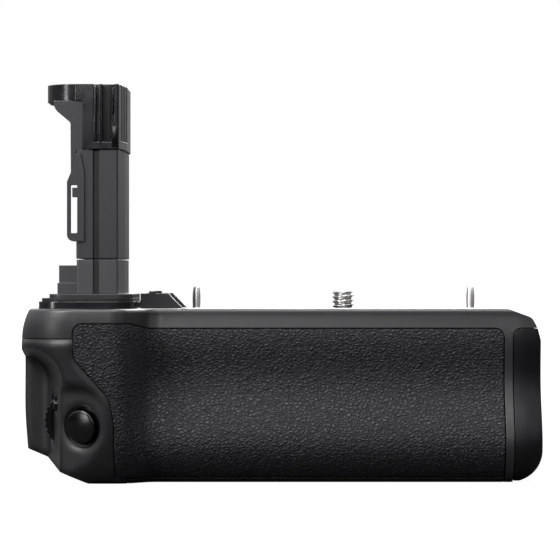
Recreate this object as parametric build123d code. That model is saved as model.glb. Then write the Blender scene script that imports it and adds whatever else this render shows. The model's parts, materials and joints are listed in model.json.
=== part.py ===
from build123d import *
import math
import os

# A battery grip that screws to the underside of a camera. Its stem goes up into the camera's
# battery chamber, and its own magazine of two battery packs slides out at the right-hand end.
# X runs to the right of someone facing the front, Y to the back and Z up, in millimetres.
# The origin is the mouth of the tripod socket, in the middle of the flat base.

# Housing: reach from the tripod socket to each side, and the form of the front
BODY_HEIGHT = 46.0
LEFT_REACH = 88.8
SIDE_SLANT = 3.4
RIGHT_REACH = 51.8
BACK_REACH = 24.0
THUMB_REACH = 27.5
GRIP_REACH = 40.0
BULGE_REACH = 48.5
BULGE_EDGE = 58.5
FLANK_WIDTH = 6.5
THUMB_EDGE = 44.0
THUMB_SLOPE = 7.0
BACK_CORNER = 4.0
THUMB_CORNER = 9.0
THUMB_BEND = 6.0
BULGE_CORNER = 5.0
FLANK_BEND = 4.0
FRONT_CORNER = 8.0
SIDE_CORNER = 23.0
FORM_MARGIN = 2.0
WALL = 2.0
SEAM = 0.2
TOP_ROUND = 1.0

# Height, finger bulge, hand bulge, left side and its corner at each level of the housing,
# as shares of the sizes above. The first level lies below the housing.
LEVEL_SHARES = (
    (-0.03, 0.765, 0.770, 0.980, 0.85),
    (0.09, 0.940, 0.900, 0.990, 0.92),
    (0.24, 1.000, 0.965, 0.995, 0.98),
    (0.40, 0.935, 0.985, 1.000, 1.00),
    (0.57, 0.860, 0.995, 1.000, 0.96),
    (0.75, 0.868, 1.000, 1.000, 0.78),
    (0.89, 0.862, 1.000, 0.995, 0.65),
    (1.00, 0.850, 0.990, 0.975, 0.61),
)

# Front silhouette: its shoulder and cheek are measured in from the right-hand side
SHOULDER_START_INSET = 9.0
SHOULDER_END_INSET = 2.4
SHOULDER_DROP = 2.4
CHEEK_TOP = 40.8
CHEEK_INSET = 0.9
CHEEK_BOTTOM = 37.5
SHOULDER_BEND = 2.5
HEEL_CORNER = 8.5
CUT_END = 68.0
CUT_TOP = 8.8
CUT_BEND = 8.0
CUT_FOOT_BEND = 3.0

# Finger channel down the left side: its wall, ceiling and corner near the front and at the back
CHANNEL_FRONT_Y = 42.0
CHANNEL_BACK_Y = 12.0
CHANNEL_REACH_Y = 62.0
CHANNEL_WALL_NEAR = 74.9
CHANNEL_WALL_FAR = 80.9
CHANNEL_TOP_NEAR = 34.5
CHANNEL_TOP_FAR = 31.2
CHANNEL_RISE = 3.0
CHANNEL_BEND_NEAR = 10.0
CHANNEL_BEND_FAR = 6.5
CHANNEL_BACK_ROUND = 2.5

# Flat that carries the shutter button
SHUTTER_X = 69.3
SHUTTER_Y = 44.2
SHUTTER_Z = 15.3
SHUTTER_YAW = 31.0
SHUTTER_PITCH = 4.0
FLAT_RIGHT = 7.0
FLAT_TOP = 9.4
FLAT_OPEN = 34.0
FLAT_BEND = 6.5
FLAT_DEPTH = 14.0
FLAT_SLOPE_SHARE = 0.75

# Seams between the housing pieces
UPPER_SEAM = 38.1
CAP_TOP = 40.7
CAP_DEPTH = 7.4
CAP_BACK = 14.0
CAP_BOTTOM = 0.4
CAP_CORNER = 2.0
STRIP_WIDTH = 2.4
CORNER_EDGE = 57.5
MID_SEAM = 2.0
BASE_THICKNESS = 2.0
BASE_LEFT = 60.0
BASE_RIGHT_INSET = 10.8
BASE_FRONT = 29.0
BASE_BACK = 20.0
BASE_CORNER = 4.0

# Rubber grip panel over the front: its border on the left, from the top down
RUBBER_THICKNESS = 0.9
RUBBER_GAP = 0.15
RUBBER_TOP = 40.9
RUBBER_HAND_TOP = 42.3
RUBBER_LEFT = 71.6
RUBBER_BOTTOM = 1.2
RUBBER_CORNER = 2.6
RUBBER_STEP_LEFT = 57.0
RUBBER_STEP_RIGHT = 52.5
RUBBER_DIP_TOP = 33.0
RUBBER_WAIST_X = 62.2
RUBBER_WAIST_Z = 22.6
RUBBER_FOOT_X = 61.0
RUBBER_FOOT_Z = 16.0
RUBBER_BENDS = 5.0

# Battery packs, the tray that carries them and the tunnel that it slides in
BAY_LEFT = 62.6
PACK_DEPTH = 38.4
PACK_HEIGHT = 21.0
PACK_ROUND = 1.5
PACK_CLEARANCE = 0.1
PACK_LABEL_STEP = 0.3
TRAY_WALL = 1.0
TRAY_END_WALL = 1.4
TRAY_RIM = 1.55
TRAY_CLEARANCE = 0.25
TRAY_MIDDLE_Y = 9.5
CONTACT_GAP = 1.4
TUNNEL_WALL = 1.2
TUNNEL_LIFT = 1.0
FLANGE_THICKNESS = 1.8
FLANGE_CLEARANCE = 0.25
SEAL_GAP = 0.05
TRAY_WINDOW_SHARE = 0.55
TRAY_WINDOW_DROP = 12.0
LATCH_WIDTH = 2.4
LATCH_LENGTH = 7.0
LATCH_PIN_RADIUS = 0.4
LATCH_PIN_DEPTH = 4.0
LATCH_GAP = 0.1

# Spring contacts at the inner end of the tunnel, and their pads on the tray
BLADE_COUNT = 3
BLADE_PITCH = 5.0
BLADE_WIDTH = 1.6
BLADE_HEIGHT = 8.0
BLADE_THICKNESS = 0.5

# Lock knob in the magazine cap, with its folding tab
KNOB_RADIUS = 10.8
KNOB_Y = 12.6
KNOB_Z = 20.4
KNOB_DEPTH = 3.4
KNOB_SINK = 0.3
KNOB_GAP = 0.3
KNOB_SHAFT_RADIUS = 2.5
SHAFT_CLEARANCE = 0.05
CAM_RADIUS = 6.2
CAM_WIDTH = 7.5
CAM_THICKNESS = 1.6
CAM_POCKET_DEPTH = 2.2
CAM_GAP = 0.3
TAB_RADIUS = 9.2
TAB_THICKNESS = 1.7
TAB_POCKET_DEPTH = 2.3
TAB_GAP = 0.3
TAB_PIN_RADIUS = 0.6
TAB_CLEARANCE = 0.08
TAB_BARREL_RADIUS = 1.1
TAB_BARREL_SHARE = 0.5
NAIL_DEPTH = 1.3
NAIL_RADIUS = 4.0
CAP_ROUND = 0.6
SEAL_DEPTH = 0.5
SEAL_WIDTH = 0.9
SEAL_MARGIN = 0.3

# Drive that turns the mounting screw: dial, gears, screw
GEAR_MODULE = 0.6
DIAL_TEETH = 25
SCREW_TEETH = 15
GEAR_FACE = 2.4
GEAR_BACKLASH = 0.12
PRESSURE_ANGLE = 20.0
FLANK_SHARES = (0.0, 0.5, 1.0)
GEAR_GAP = 0.3
DIAL_RADIUS = 14.5
DIAL_THICKNESS = 7.0
DIAL_LIFT = 0.7
DIAL_RIBS = 40
DIAL_RIB_DEPTH = 0.5
DIAL_BORE_CLEARANCE = 0.05
DIAL_SLOT_GAP = 0.4
DIAL_AXLE_RADIUS = 1.5
DIAL_BOSS_RADIUS = 3.2
BEARING_THICKNESS = 1.2
BEARING_HALF_WIDTH = 8.0
BEARING_MARGIN = 3.5
DIAL_SCOOP_RADIUS = 22.0
DIAL_SCOOP_DEPTH = 1.4
DIAL_SCOOP_WIDTH = 11.0
SCREW_RADIUS = 3.1
SCREW_RISE = 4.8
SCREW_NECK_RADIUS = 2.8
SCREW_SHAFT_RADIUS = 2.4
SCREW_FLANGE_RADIUS = 5.0
SCREW_FLANGE_THICKNESS = 2.0
SCREW_POINT = 0.6
WASHER_THICKNESS = 0.5
SCREW_GAP = 0.05
FLANGE_GAP = 0.1
COLLAR_RADIUS = 5.6
COLLAR_CLEARANCE = 0.35
SOCKET_RADIUS = 3.1
SOCKET_OUTER = 5.2
SOCKET_ROOF = 0.4

# Guide pins beside the screw
PIN_RADIUS = 1.1
PIN_LEFT_X = 40.7
PIN_RIGHT_X = 35.2
PIN_RISE = 6.1
PIN_SHANK = 3.4
PIN_TIP_RADIUS = 0.85
TIP_ROUND_SHARE = 0.8
PIN_SHOULDER_RADIUS = 1.6
PIN_FOOT_RADIUS = 2.6
PIN_FOOT_HEIGHT = 1.5

# Stem that takes the place of the camera's battery
STEM_LEFT = 71.4
STEM_RIGHT = 59.1
STEM_FACET_X = 60.35
STEM_FRONT = 36.0
STEM_FACET_Y = 24.0
STEM_BACK = 1.0
STEM_BACK_FACET = 5.0
STEM_GROOVE_LEFT = 66.95
STEM_GROOVE_RIGHT = 65.3
STEM_GROOVE_DEPTH = 2.0
STEM_ROUND = 0.5
BOOT_TOP = 59.0
COLUMN_TOP = 88.0
HEAD_TOP = 105.4
STEM_SEAM = 0.25
STEM_WAIST = 0.1
STEM_CORE_MARGIN = 3.0
HEAD_OVERHANG = 0.4
HEAD_LEFT = 69.7
HOOD_LEFT = 79.6
HOOD_BOTTOM = 101.0
HOOD_RADIUS = 9.5
HOOD_BACK = 14.0
SHELF_LEFT = 77.4
SHELF_BOTTOM = 95.2
SHELF_BEND = 3.6
SHELF_BEND_X = 72.9
SHELF_BEND_Z = 97.6
HEAD_SLOT_COUNT = 4
HEAD_SLOT_PITCH = 3.4
HEAD_SLOT_WIDTH = 1.3
HEAD_SLOT_DROP = 15.0
HEAD_SLOT_DEPTH = 3.0
HEAD_SLOT_FIRST = 31.5
HEAD_RECESS_LEFT = 66.8
HEAD_RECESS_RIGHT = 61.3
HEAD_RECESS_DEPTH = 1.6
HEAD_RECESS_FOOT = 1.8
HEAD_RIB_WIDTH = 0.6
BLADE_SINK = 0.5
CLIP_LEFT = 73.8
CLIP_RIGHT = 69.2
CLIP_BOTTOM = 63.8
CLIP_TOP = 87.0
CLIP_SHOULDER = 79.6
CLIP_NECK_X = 72.8
CLIP_NECK_Z = 82.0
CLIP_THICKNESS = 2.6
CLIP_PROUD = 0.5
CLIP_CORNER = 1.8
CLIP_SLOT_LEFT = 72.9
CLIP_SLOT_RIGHT = 71.1
CLIP_SLOT_BOTTOM = 66.0
CLIP_SLOT_TOP = 78.7
CLIP_TOOTH_TOP = 78.0
CLIP_TOOTH_BOTTOM = 75.5
CLIP_TOOTH_WIDTH = 1.3
CLIP_SLOT_ROUND = 0.3
CLIP_CHEEK_BOTTOM = 80.6
CLIP_CHEEK_DEPTH = 8.0
NOTCH_LEFT = 70.7
NOTCH_MARGIN = 0.6

# Plinth and seal round the foot of the stem
PLINTH_LEFT = 81.3
PLINTH_RIGHT = 55.6
PLINTH_FRONT = 42.0
PLINTH_BACK = 7.0
PLINTH_CORNER = 7.0
PLINTH_HEIGHT = 1.9
SEAL_STEP = 0.8
GASKET_HEIGHT = 0.9
CROWN_STEP = 2.0
CROWN_HEIGHT = 1.1
KEY_LEFT = 76.4
KEY_TOP = 57.5
KEY_STEP = 52.8
KEY_STEP_OUT = 0.4
KEY_FRONT = 30.0
KEY_BACK = 12.0
WIRE_HOLE_MARGIN = 4.0

# Holder that keeps the camera's own battery cover
HOLDER_LEFT = 55.0
HOLDER_RIGHT = 43.7
HOLDER_SLOPE = 47.6
HOLDER_HEIGHT = 4.0
HOLDER_RIB_LEFT = 52.7
HOLDER_RIB_RIGHT = 50.75
HOLDER_RIB_RISE = 0.6
HOLDER_FRONT = 24.0
HOLDER_BACK = 12.0
HOLDER_EAR = 4.6
HOLDER_RAIL = 1.2
HOLDER_RAIL_HEIGHT = 1.5
DECK_GROOVE_X = 43.1
DECK_GROOVE_WIDTH = 0.4
DECK_GROOVE_DEPTH = 0.4

# Round buttons and the shutter button
BUTTON_GAP = 0.25
BUTTON_PROUD = 0.8
BUTTON_FLANGE = 0.8
BUTTON_FLANGE_THICKNESS = 0.9
BUTTON_TRAVEL = 0.7
BUTTON_SEAT_GAP = 0.1
BUTTON_CROWN = 0.35
SWITCH_GAP = 0.15
REAR_BUTTON_RADIUS = 3.1
REAR_BUTTON_X = 67.0
REAR_BUTTON_ZS = (33.0, 22.5, 12.0)
SHUTTER_RADIUS = 4.45
SHUTTER_PROUD = 1.4
SHUTTER_CROWN = 0.7
SHUTTER_TRAVEL = 1.2
SHUTTER_COLLAR_WIDTH = 1.3
SHUTTER_COLLAR_THICKNESS = 0.9
SHUTTER_DISH_SHARE = 0.35
SMALL_BUTTON_RADIUS = 1.9
SMALL_BUTTON_Y = 31.5
SMALL_BUTTON_Z = 20.6
BOARD_THICKNESS = 1.2
SWITCH_RADIUS = 2.0
SWITCH_HEIGHT = 2.4
POST_RADIUS = 1.4
CONTROL_BOARD_LEFT = 74.5
CONTROL_BOARD_RIGHT = 50.0
CONTROL_BOARD_BOTTOM = 8.0
CONTROL_BOARD_TOP = 36.5
POST_INSET = 2.0
SHUTTER_BOARD_HALF = 7.2

# Wheels: front dial by the shutter button and rear dial for the thumb
WHEEL_GAP = 0.4
WHEEL_RIBS = 32
WHEEL_RIB_DEPTH = 0.45
WHEEL_AXLE_RADIUS = 1.0
WHEEL_AXLE_CLEARANCE = 0.05
WHEEL_HUB_RADIUS = 3.4
WHEEL_DISH = 0.6
FRONT_WHEEL_X = 72.2
FRONT_WHEEL_Y = 23.5
FRONT_WHEEL_Z = 16.1
FRONT_WHEEL_RADIUS = 8.45
FRONT_WHEEL_THICKNESS = 5.0
REAR_WHEEL_X = 80.8
REAR_WHEEL_Y = 19.3
REAR_WHEEL_Z = 22.0
REAR_WHEEL_RADIUS = 9.6
REAR_WHEEL_THICKNESS = 4.5
YOKE_THICKNESS = 1.6
YOKE_HALF = 2.4
YOKE_GAP = 0.3

# Thumb stick
STICK_X = 55.5
STICK_Z = 27.5
STICK_PIVOT_DEPTH = 4.3
STICK_RADIUS = 1.2
STICK_CAP_RADIUS = 3.5
STICK_CAP_THICKNESS = 1.6
STICK_CAP_LIFT = 1.2
STICK_CAP_ROUND = 0.5
STICK_CAP_DISH = 0.5
STICK_HOLE_RADIUS = 2.4
STICK_CASE_HALF = 4.4
STICK_CASE_WALL = 0.9
STICK_RING_OUTER = 3.0
STICK_RING_INNER = 2.1
STICK_RING_HALF = 0.6
STICK_PIN_RADIUS = 0.4
STICK_PIN_CLEARANCE = 0.05
STICK_BALL_RADIUS = 1.45
STICK_FOOT = 1.0

# Power lever on the back
LEVER_X = 36.0
LEVER_Z = 14.0
LEVER_RADIUS = 5.6
LEVER_THICKNESS = 1.7
LEVER_GAP = 0.15
LEVER_NUB_REACH = 8.2
LEVER_NUB_WIDTH = 3.2
LEVER_NUB_HEIGHT = 1.0
LEVER_SHAFT_RADIUS = 1.6
LEVER_CLIP_RADIUS = 3.2
LEVER_CLIP_THICKNESS = 0.8
LEVER_ROUND = 0.4

# Rubber pad for the thumb, main circuit board, base screws
PAD_LEFT = 29.0
PAD_RIGHT = 13.5
PAD_BOTTOM = 5.0
PAD_TOP = 33.5
PAD_CORNER = 3.0
END_PAD_LEFT = 12.5
END_PAD_INSET = 9.4
BOARD_LEFT = 56.0
BOARD_RIGHT = 17.0
BOARD_FRONT = 26.0
BOARD_BACK = 8.0
BOARD_STANDOFF = 2.5
BOARD_POST_INSET = 3.0
BASE_SCREW_RADIUS = 1.9
BASE_SCREW_SINK = 0.25
BASE_SCREW_SHANK = 0.9
BASE_SCREW_INSET = 5.0
BASE_SCREW_HEAD = 0.9

OVERRUN = 4.0

# Places that follow from the sizes above
SHOULDER_START = RIGHT_REACH - SHOULDER_START_INSET
SHOULDER_END = RIGHT_REACH - SHOULDER_END_INSET
CHEEK_X = RIGHT_REACH - CHEEK_INSET
CAP_FACE = RIGHT_REACH - CAP_DEPTH
STRIP_LEFT = CAP_FACE - STRIP_WIDTH
BASE_RIGHT = RIGHT_REACH - BASE_RIGHT_INSET
END_PAD_RIGHT = RIGHT_REACH - END_PAD_INSET
TUNNEL_LEFT = -BAY_LEFT
TRAY_LEFT = TUNNEL_LEFT + TUNNEL_WALL + CONTACT_GAP
PACK_LENGTH = (CAP_FACE - TRAY_LEFT) / 2 - TRAY_END_WALL - 2 * PACK_CLEARANCE
TRAY_FRONT = -TRAY_MIDDLE_Y - PACK_DEPTH / 2 - PACK_CLEARANCE - TRAY_WALL
TRAY_BACK = -TRAY_MIDDLE_Y + PACK_DEPTH / 2 + PACK_CLEARANCE + TRAY_WALL
TUNNEL_BASE = BASE_THICKNESS + TUNNEL_LIFT
TUNNEL_FLOOR = TUNNEL_BASE + TUNNEL_WALL
TRAY_BOTTOM = TUNNEL_FLOOR + TRAY_CLEARANCE
PACK_BOTTOM = TRAY_BOTTOM + TRAY_WALL
PACK_TOP = PACK_BOTTOM + PACK_HEIGHT
TRAY_TOP = PACK_TOP + TRAY_RIM
TUNNEL_TOP = TRAY_TOP + TRAY_CLEARANCE + TUNNEL_WALL
PACK_RIGHT_1 = CAP_FACE - PACK_CLEARANCE
PACK_LEFT_1 = PACK_RIGHT_1 - PACK_LENGTH
PACK_RIGHT_2 = PACK_LEFT_1 - TRAY_END_WALL - 2 * PACK_CLEARANCE
PACK_LEFT_2 = PACK_RIGHT_2 - PACK_LENGTH
FLANGE_FACE = CAP_FACE - FLANGE_CLEARANCE
ROOF = BODY_HEIGHT - WALL
GEAR_CENTRES = GEAR_MODULE * (DIAL_TEETH + SCREW_TEETH) / 2
FLANGE_TOP = ROOF - WASHER_THICKNESS - SCREW_GAP
BEARING_TOP = FLANGE_TOP - SCREW_FLANGE_THICKNESS - FLANGE_GAP
GEAR_TOP = BEARING_TOP - BEARING_THICKNESS - GEAR_GAP
GEAR_BOTTOM = GEAR_TOP - GEAR_FACE
DIAL_TOP = GEAR_BOTTOM - DIAL_LIFT
DIAL_BOTTOM = DIAL_TOP - DIAL_THICKNESS
KNOB_FACE = RIGHT_REACH - KNOB_SINK
KNOB_BACK = KNOB_FACE - KNOB_DEPTH
THUMB_INNER = THUMB_REACH - WALL
BACK_INNER = BACK_REACH - WALL


# Helpers

def block(x0, x1, y0, y1, z0, z1):
    """A box between two corners."""
    return Pos(x0, y0, z0) * Box(x1 - x0, y1 - y0, z1 - z0, align=(Align.MIN, Align.MIN, Align.MIN))


def rod(start, direction, radius, length):
    """A round bar from a start point along a direction."""
    plane = Plane(origin=start, z_dir=direction)
    return plane * Cylinder(radius, length, align=(Align.CENTER, Align.CENTER, Align.MIN))


def front_prism(face, y0, y1):
    """A face drawn in X and Z, made solid from the depth y0 back to y1."""
    plane = Plane(origin=(0, y0, 0), x_dir=(1, 0, 0), z_dir=(0, -1, 0))
    return extrude(plane * face, amount=y0 - y1)


def side_prism(face, x0, x1):
    """A face drawn in Y and Z, made solid from x0 to x1."""
    plane = Plane(origin=(x0, 0, 0), x_dir=(0, 1, 0), z_dir=(1, 0, 0))
    return extrude(plane * face, amount=x1 - x0)


def plan_prism(face, z0, z1):
    """A face drawn in X and Y, made solid from z0 up to z1."""
    return extrude(Pos(0, 0, z0) * face, amount=z1 - z0)


def rounded(points, radii):
    """A closed face through points whose corners have the given radii."""
    return make_face(FilletPolyline(*points, radius=radii, close=True))


def rounded_box(x0, x1, y0, y1, z0, z1, radius):
    """An upright box with rounded vertical corners."""
    middle = Pos((x0 + x1) / 2, (y0 + y1) / 2, 0)
    return plan_prism(middle * RectangleRounded(x1 - x0, y1 - y0, radius), z0, z1)


def ribbed_disc(radius, thickness, ribs, depth):
    """A disc along Z from z=0, whose rim has V grooves."""
    points = []
    for index in range(2 * ribs):
        reach = radius if index % 2 == 0 else radius - depth
        angle = math.pi * index / ribs
        points.append((reach * math.cos(angle), reach * math.sin(angle)))
    return extrude(make_face(Polyline(*points, close=True)), amount=thickness)


def gear(teeth, tooth_angle):
    """A spur gear from z=0 with involute flanks and one tooth centred on tooth_angle degrees."""
    pitch = GEAR_MODULE * teeth / 2
    base = pitch * math.cos(math.radians(PRESSURE_ANGLE))
    tip = pitch + GEAR_MODULE
    root = pitch - 1.25 * GEAR_MODULE
    involute = math.tan(math.radians(PRESSURE_ANGLE)) - math.radians(PRESSURE_ANGLE)
    half = (math.pi * GEAR_MODULE / 2 - GEAR_BACKLASH) / (2 * pitch)
    start = max(base, root)
    flank = []
    for share in FLANK_SHARES:
        reach = start + (tip - start) * share
        turn = math.acos(min(1.0, base / reach))
        flank.append((reach, half + involute - (math.tan(turn) - turn)))
    points = []
    for index in range(teeth):
        middle = math.radians(tooth_angle) + 2 * math.pi * index / teeth
        places = [(root, -flank[0][1])]
        places += [(reach, -angle) for reach, angle in flank if reach > root]
        places += [(reach, angle) for reach, angle in reversed(flank) if reach > root]
        places += [(root, flank[0][1])]
        for reach, angle in places:
            points.append((reach * math.cos(middle + angle), reach * math.sin(middle + angle)))
    return extrude(make_face(Polyline(*points, close=True)), amount=GEAR_FACE)


# Housing form

def outline(shares, inset):
    """The housing's outline at one level, drawn in by inset."""
    height, grip, bulge, left, corner = shares
    slant = inset * 0.6
    front = -GRIP_REACH * grip + inset
    hand = -BULGE_REACH * bulge + inset
    side = -LEFT_REACH * left + inset
    side_front = side + SIDE_SLANT
    back = BACK_REACH - inset
    thumb = THUMB_REACH - inset
    right = RIGHT_REACH + FORM_MARGIN - inset
    points = [
        (right, back),
        (-THUMB_EDGE - slant, back),
        (-THUMB_EDGE - THUMB_SLOPE - slant, thumb),
        (side, thumb),
        (side_front, hand),
        (-BULGE_EDGE - slant, hand),
        (-BULGE_EDGE + FLANK_WIDTH - slant, front),
        (right, front),
    ]
    radii = [
        BACK_CORNER - inset,
        THUMB_BEND + slant,
        THUMB_BEND - slant,
        THUMB_CORNER - inset,
        SIDE_CORNER * corner - inset,
        BULGE_CORNER - slant,
        FLANK_BEND + slant,
        FRONT_CORNER - inset,
    ]
    return Pos(0, 0, BODY_HEIGHT * height) * rounded(points, radii)


def silhouette(inset):
    """The housing's front silhouette, drawn in by inset, as a prism along Y."""
    # the outermost form already ends flat at the top, where its edge is rounded
    spare = 0 if inset else OVERRUN
    run = (SHOULDER_END - SHOULDER_START) / SHOULDER_DROP
    points = [
        (-LEFT_REACH - WALL, BODY_HEIGHT + spare),
        (SHOULDER_START - spare * run, BODY_HEIGHT + spare),
        (SHOULDER_END, BODY_HEIGHT - SHOULDER_DROP),
        (CHEEK_X, CHEEK_TOP),
        (RIGHT_REACH, CHEEK_BOTTOM),
        (RIGHT_REACH, 0),
        (-CUT_END, 0),
        (-LEFT_REACH - SEAM, CUT_TOP),
        (-LEFT_REACH - WALL, CUT_TOP + CUT_BEND),
    ]
    radii = [0, 0, SHOULDER_BEND, 0, 0, HEEL_CORNER, CUT_FOOT_BEND, CUT_BEND, 0]
    face = rounded(points, radii)
    if inset:
        face = offset(face, amount=-inset)
    depth = THUMB_REACH + OVERRUN
    return front_prism(face, -BULGE_REACH - OVERRUN, depth)


def channel_profile(wall, top, bend, inset):
    """The finger channel's section in X and Z."""
    outside = -LEFT_REACH - OVERRUN
    points = [
        (outside, -OVERRUN),
        (-wall + inset, -OVERRUN),
        (-wall + inset, top + inset),
        (outside, top + inset + CHANNEL_RISE),
    ]
    return rounded(points, [0, 0, bend, 0])


def finger_channel(inset):
    """The space cut from the left side for the index finger, which narrows towards the back."""
    run = CHANNEL_FRONT_Y - CHANNEL_BACK_Y
    past = (CHANNEL_REACH_Y - CHANNEL_FRONT_Y) / run
    near = CHANNEL_WALL_NEAR - (CHANNEL_WALL_FAR - CHANNEL_WALL_NEAR) * past
    top = CHANNEL_TOP_NEAR + (CHANNEL_TOP_NEAR - CHANNEL_TOP_FAR) * past
    bend = CHANNEL_BEND_NEAR + (CHANNEL_BEND_NEAR - CHANNEL_BEND_FAR) * past
    front = Plane(origin=(0, -CHANNEL_REACH_Y, 0), x_dir=(1, 0, 0), z_dir=(0, -1, 0))
    back = Plane(origin=(0, -CHANNEL_BACK_Y + inset, 0), x_dir=(1, 0, 0), z_dir=(0, -1, 0))
    return loft([
        front * channel_profile(near, top, bend, inset),
        back * channel_profile(CHANNEL_WALL_FAR, CHANNEL_TOP_FAR, CHANNEL_BEND_FAR, inset),
    ], ruled=True)


def shutter_plane():
    """The plane of the shutter flat, facing out, with X level."""
    yaw = math.radians(SHUTTER_YAW)
    pitch = math.radians(SHUTTER_PITCH)
    facing = (-math.sin(yaw) * math.cos(pitch), -math.cos(yaw) * math.cos(pitch), -math.sin(pitch))
    level = (math.cos(yaw), -math.sin(yaw), 0)
    return Plane(origin=(-SHUTTER_X, -SHUTTER_Y, SHUTTER_Z), x_dir=level, z_dir=facing)


def shutter_flat(inset):
    """What is cut away in front of the shutter button: a flat floor with sloping sides."""
    plane = shutter_plane()
    right = FLAT_RIGHT + inset
    top = FLAT_TOP + inset
    spread = FLAT_DEPTH * FLAT_SLOPE_SHARE

    def section(lift, grow):
        points = [
            (-FLAT_OPEN, -FLAT_OPEN),
            (right + grow, -FLAT_OPEN),
            (right + grow, top + grow),
            (-FLAT_OPEN, top + grow),
        ]
        return plane * Pos(0, 0, lift) * rounded(points, [0, 0, FLAT_BEND + grow, 0])

    return loft([section(-inset, 0), section(FLAT_DEPTH - inset, spread)], ruled=True)


def body_form(inset):
    """The housing as one solid, with its outer face drawn in by inset."""
    form = loft([outline(shares, inset) for shares in LEVEL_SHARES])
    if inset == 0:
        form = fillet(form.faces().sort_by(Axis.Z)[-1].edges(), TOP_ROUND)
    form = form & silhouette(inset)
    form = form - finger_channel(inset)
    return form - shutter_flat(inset)


def rubber_region(shrink):
    """The front grip panel's outline in X and Z."""
    step = RUBBER_HAND_TOP - RUBBER_TOP
    points = [
        (STRIP_LEFT, RUBBER_TOP),
        (-RUBBER_STEP_RIGHT, RUBBER_TOP),
        (-RUBBER_STEP_LEFT, RUBBER_TOP + step),
        (-RUBBER_LEFT, RUBBER_TOP + step),
        (-RUBBER_LEFT, RUBBER_DIP_TOP),
        (-RUBBER_WAIST_X, RUBBER_WAIST_Z),
        (-RUBBER_FOOT_X, RUBBER_FOOT_Z),
        (-RUBBER_FOOT_X, RUBBER_BOTTOM),
        (STRIP_LEFT, RUBBER_BOTTOM),
    ]
    radii = [RUBBER_CORNER, RUBBER_BENDS, RUBBER_BENDS, RUBBER_CORNER, RUBBER_BENDS,
             RUBBER_BENDS, RUBBER_BENDS, 0, 0]
    face = rounded(points, radii)
    if shrink:
        face = offset(face, amount=-shrink)
    return front_prism(face, -BULGE_REACH - OVERRUN, -MID_SEAM)


FORM = body_form(0)
FORM_BED = body_form(RUBBER_THICKNESS)
FORM_INNER = body_form(WALL)
SKIN = FORM - FORM_INNER
RUBBER_LAYER = FORM - FORM_BED


def all_of(low_z, high_z):
    """A box over the whole plan between two heights."""
    reach = LEFT_REACH + OVERRUN
    return block(-reach, reach, -reach, reach, low_z, high_z)


def cap_region(grow):
    """The corner of the housing that the magazine cap takes up, rounded where cap and strip meet."""
    low = -OVERRUN if grow else CAP_BOTTOM
    points = [
        (CAP_FACE - grow, low),
        (RIGHT_REACH + OVERRUN, low),
        (RIGHT_REACH + OVERRUN, CAP_TOP + grow),
        (CAP_FACE - grow, CAP_TOP + grow),
    ]
    face = rounded(points, [0, 0, 0, CAP_CORNER + grow])
    return front_prism(face, -LEFT_REACH, CAP_BACK + grow)


def base_region(grow, z0, z1):
    """The base plate's outline between two heights."""
    return rounded_box(-BASE_LEFT - grow, BASE_RIGHT + grow, -BASE_FRONT - grow,
                       BASE_BACK + grow, z0, z1, BASE_CORNER)


# Housing pieces

def screw_places():
    """Centres of the screws that hold the base plate."""
    left = -BASE_LEFT + BASE_SCREW_INSET
    right = BASE_RIGHT - BASE_SCREW_INSET
    front = -BASE_FRONT + BASE_SCREW_INSET
    back = BASE_BACK - BASE_SCREW_INSET
    return [(x, y) for x in (left, (left + right) / 3, right) for y in (front, back)]


def top_cover():
    """The upper cover, with the strip that runs down beside the magazine cap."""
    front = -LEFT_REACH
    upper = SKIN & all_of(UPPER_SEAM + SEAM, BODY_HEIGHT + OVERRUN)
    strip = SKIN & block(STRIP_LEFT - OVERRUN, FLANGE_FACE, front, -MID_SEAM,
                         -OVERRUN, UPPER_SEAM + OVERRUN)
    cover = upper + strip
    cover = cover - (RUBBER_LAYER & rubber_region(0))
    cover = cover - block(STRIP_LEFT - OVERRUN * 2, STRIP_LEFT, front, -MID_SEAM,
                          -OVERRUN, UPPER_SEAM + SEAM)
    cover = cover - cap_region(SEAM)
    cover = cover - rod((0, 0, ROOF - OVERRUN), (0, 0, 1), COLLAR_RADIUS, WALL + 2 * OVERRUN)
    for x in (-PIN_LEFT_X, PIN_RIGHT_X):
        cover = cover - rod((x, 0, ROOF - OVERRUN), (0, 0, 1), PIN_SHOULDER_RADIUS, WALL + 2 * OVERRUN)
    cover = cover - block(-STEM_LEFT + WIRE_HOLE_MARGIN, -STEM_RIGHT - WIRE_HOLE_MARGIN,
                          -STEM_FRONT + WIRE_HOLE_MARGIN, -WIRE_HOLE_MARGIN,
                          ROOF - OVERRUN, BODY_HEIGHT + OVERRUN)
    cover = cover - block(-DECK_GROOVE_X - DECK_GROOVE_WIDTH / 2, -DECK_GROOVE_X + DECK_GROOVE_WIDTH / 2,
                          front, LEFT_REACH, BODY_HEIGHT - DECK_GROOVE_DEPTH, BODY_HEIGHT + OVERRUN)
    boss = rod((0, GEAR_CENTRES, BEARING_TOP), (0, 0, 1), DIAL_BOSS_RADIUS, ROOF - BEARING_TOP)
    cover = cover + boss
    for side in (-1, 1):
        x = side * (BEARING_HALF_WIDTH - POST_RADIUS)
        cover = cover + rod((x, 0, BEARING_TOP), (0, 0, 1), POST_RADIUS, ROOF - BEARING_TOP)
    return cover - rod((0, GEAR_CENTRES, 0), (0, 0, 1), DIAL_AXLE_RADIUS, ROOF)


def lower_skin():
    """The skin under the upper seam, without the cap's corner, the base plate and the panel."""
    skin = SKIN & all_of(-OVERRUN, UPPER_SEAM)
    skin = skin - cap_region(SEAM)
    skin = skin - base_region(SEAM, -OVERRUN, WALL + OVERRUN)
    return skin - (RUBBER_LAYER & rubber_region(0))


LOWER = lower_skin()


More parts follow.
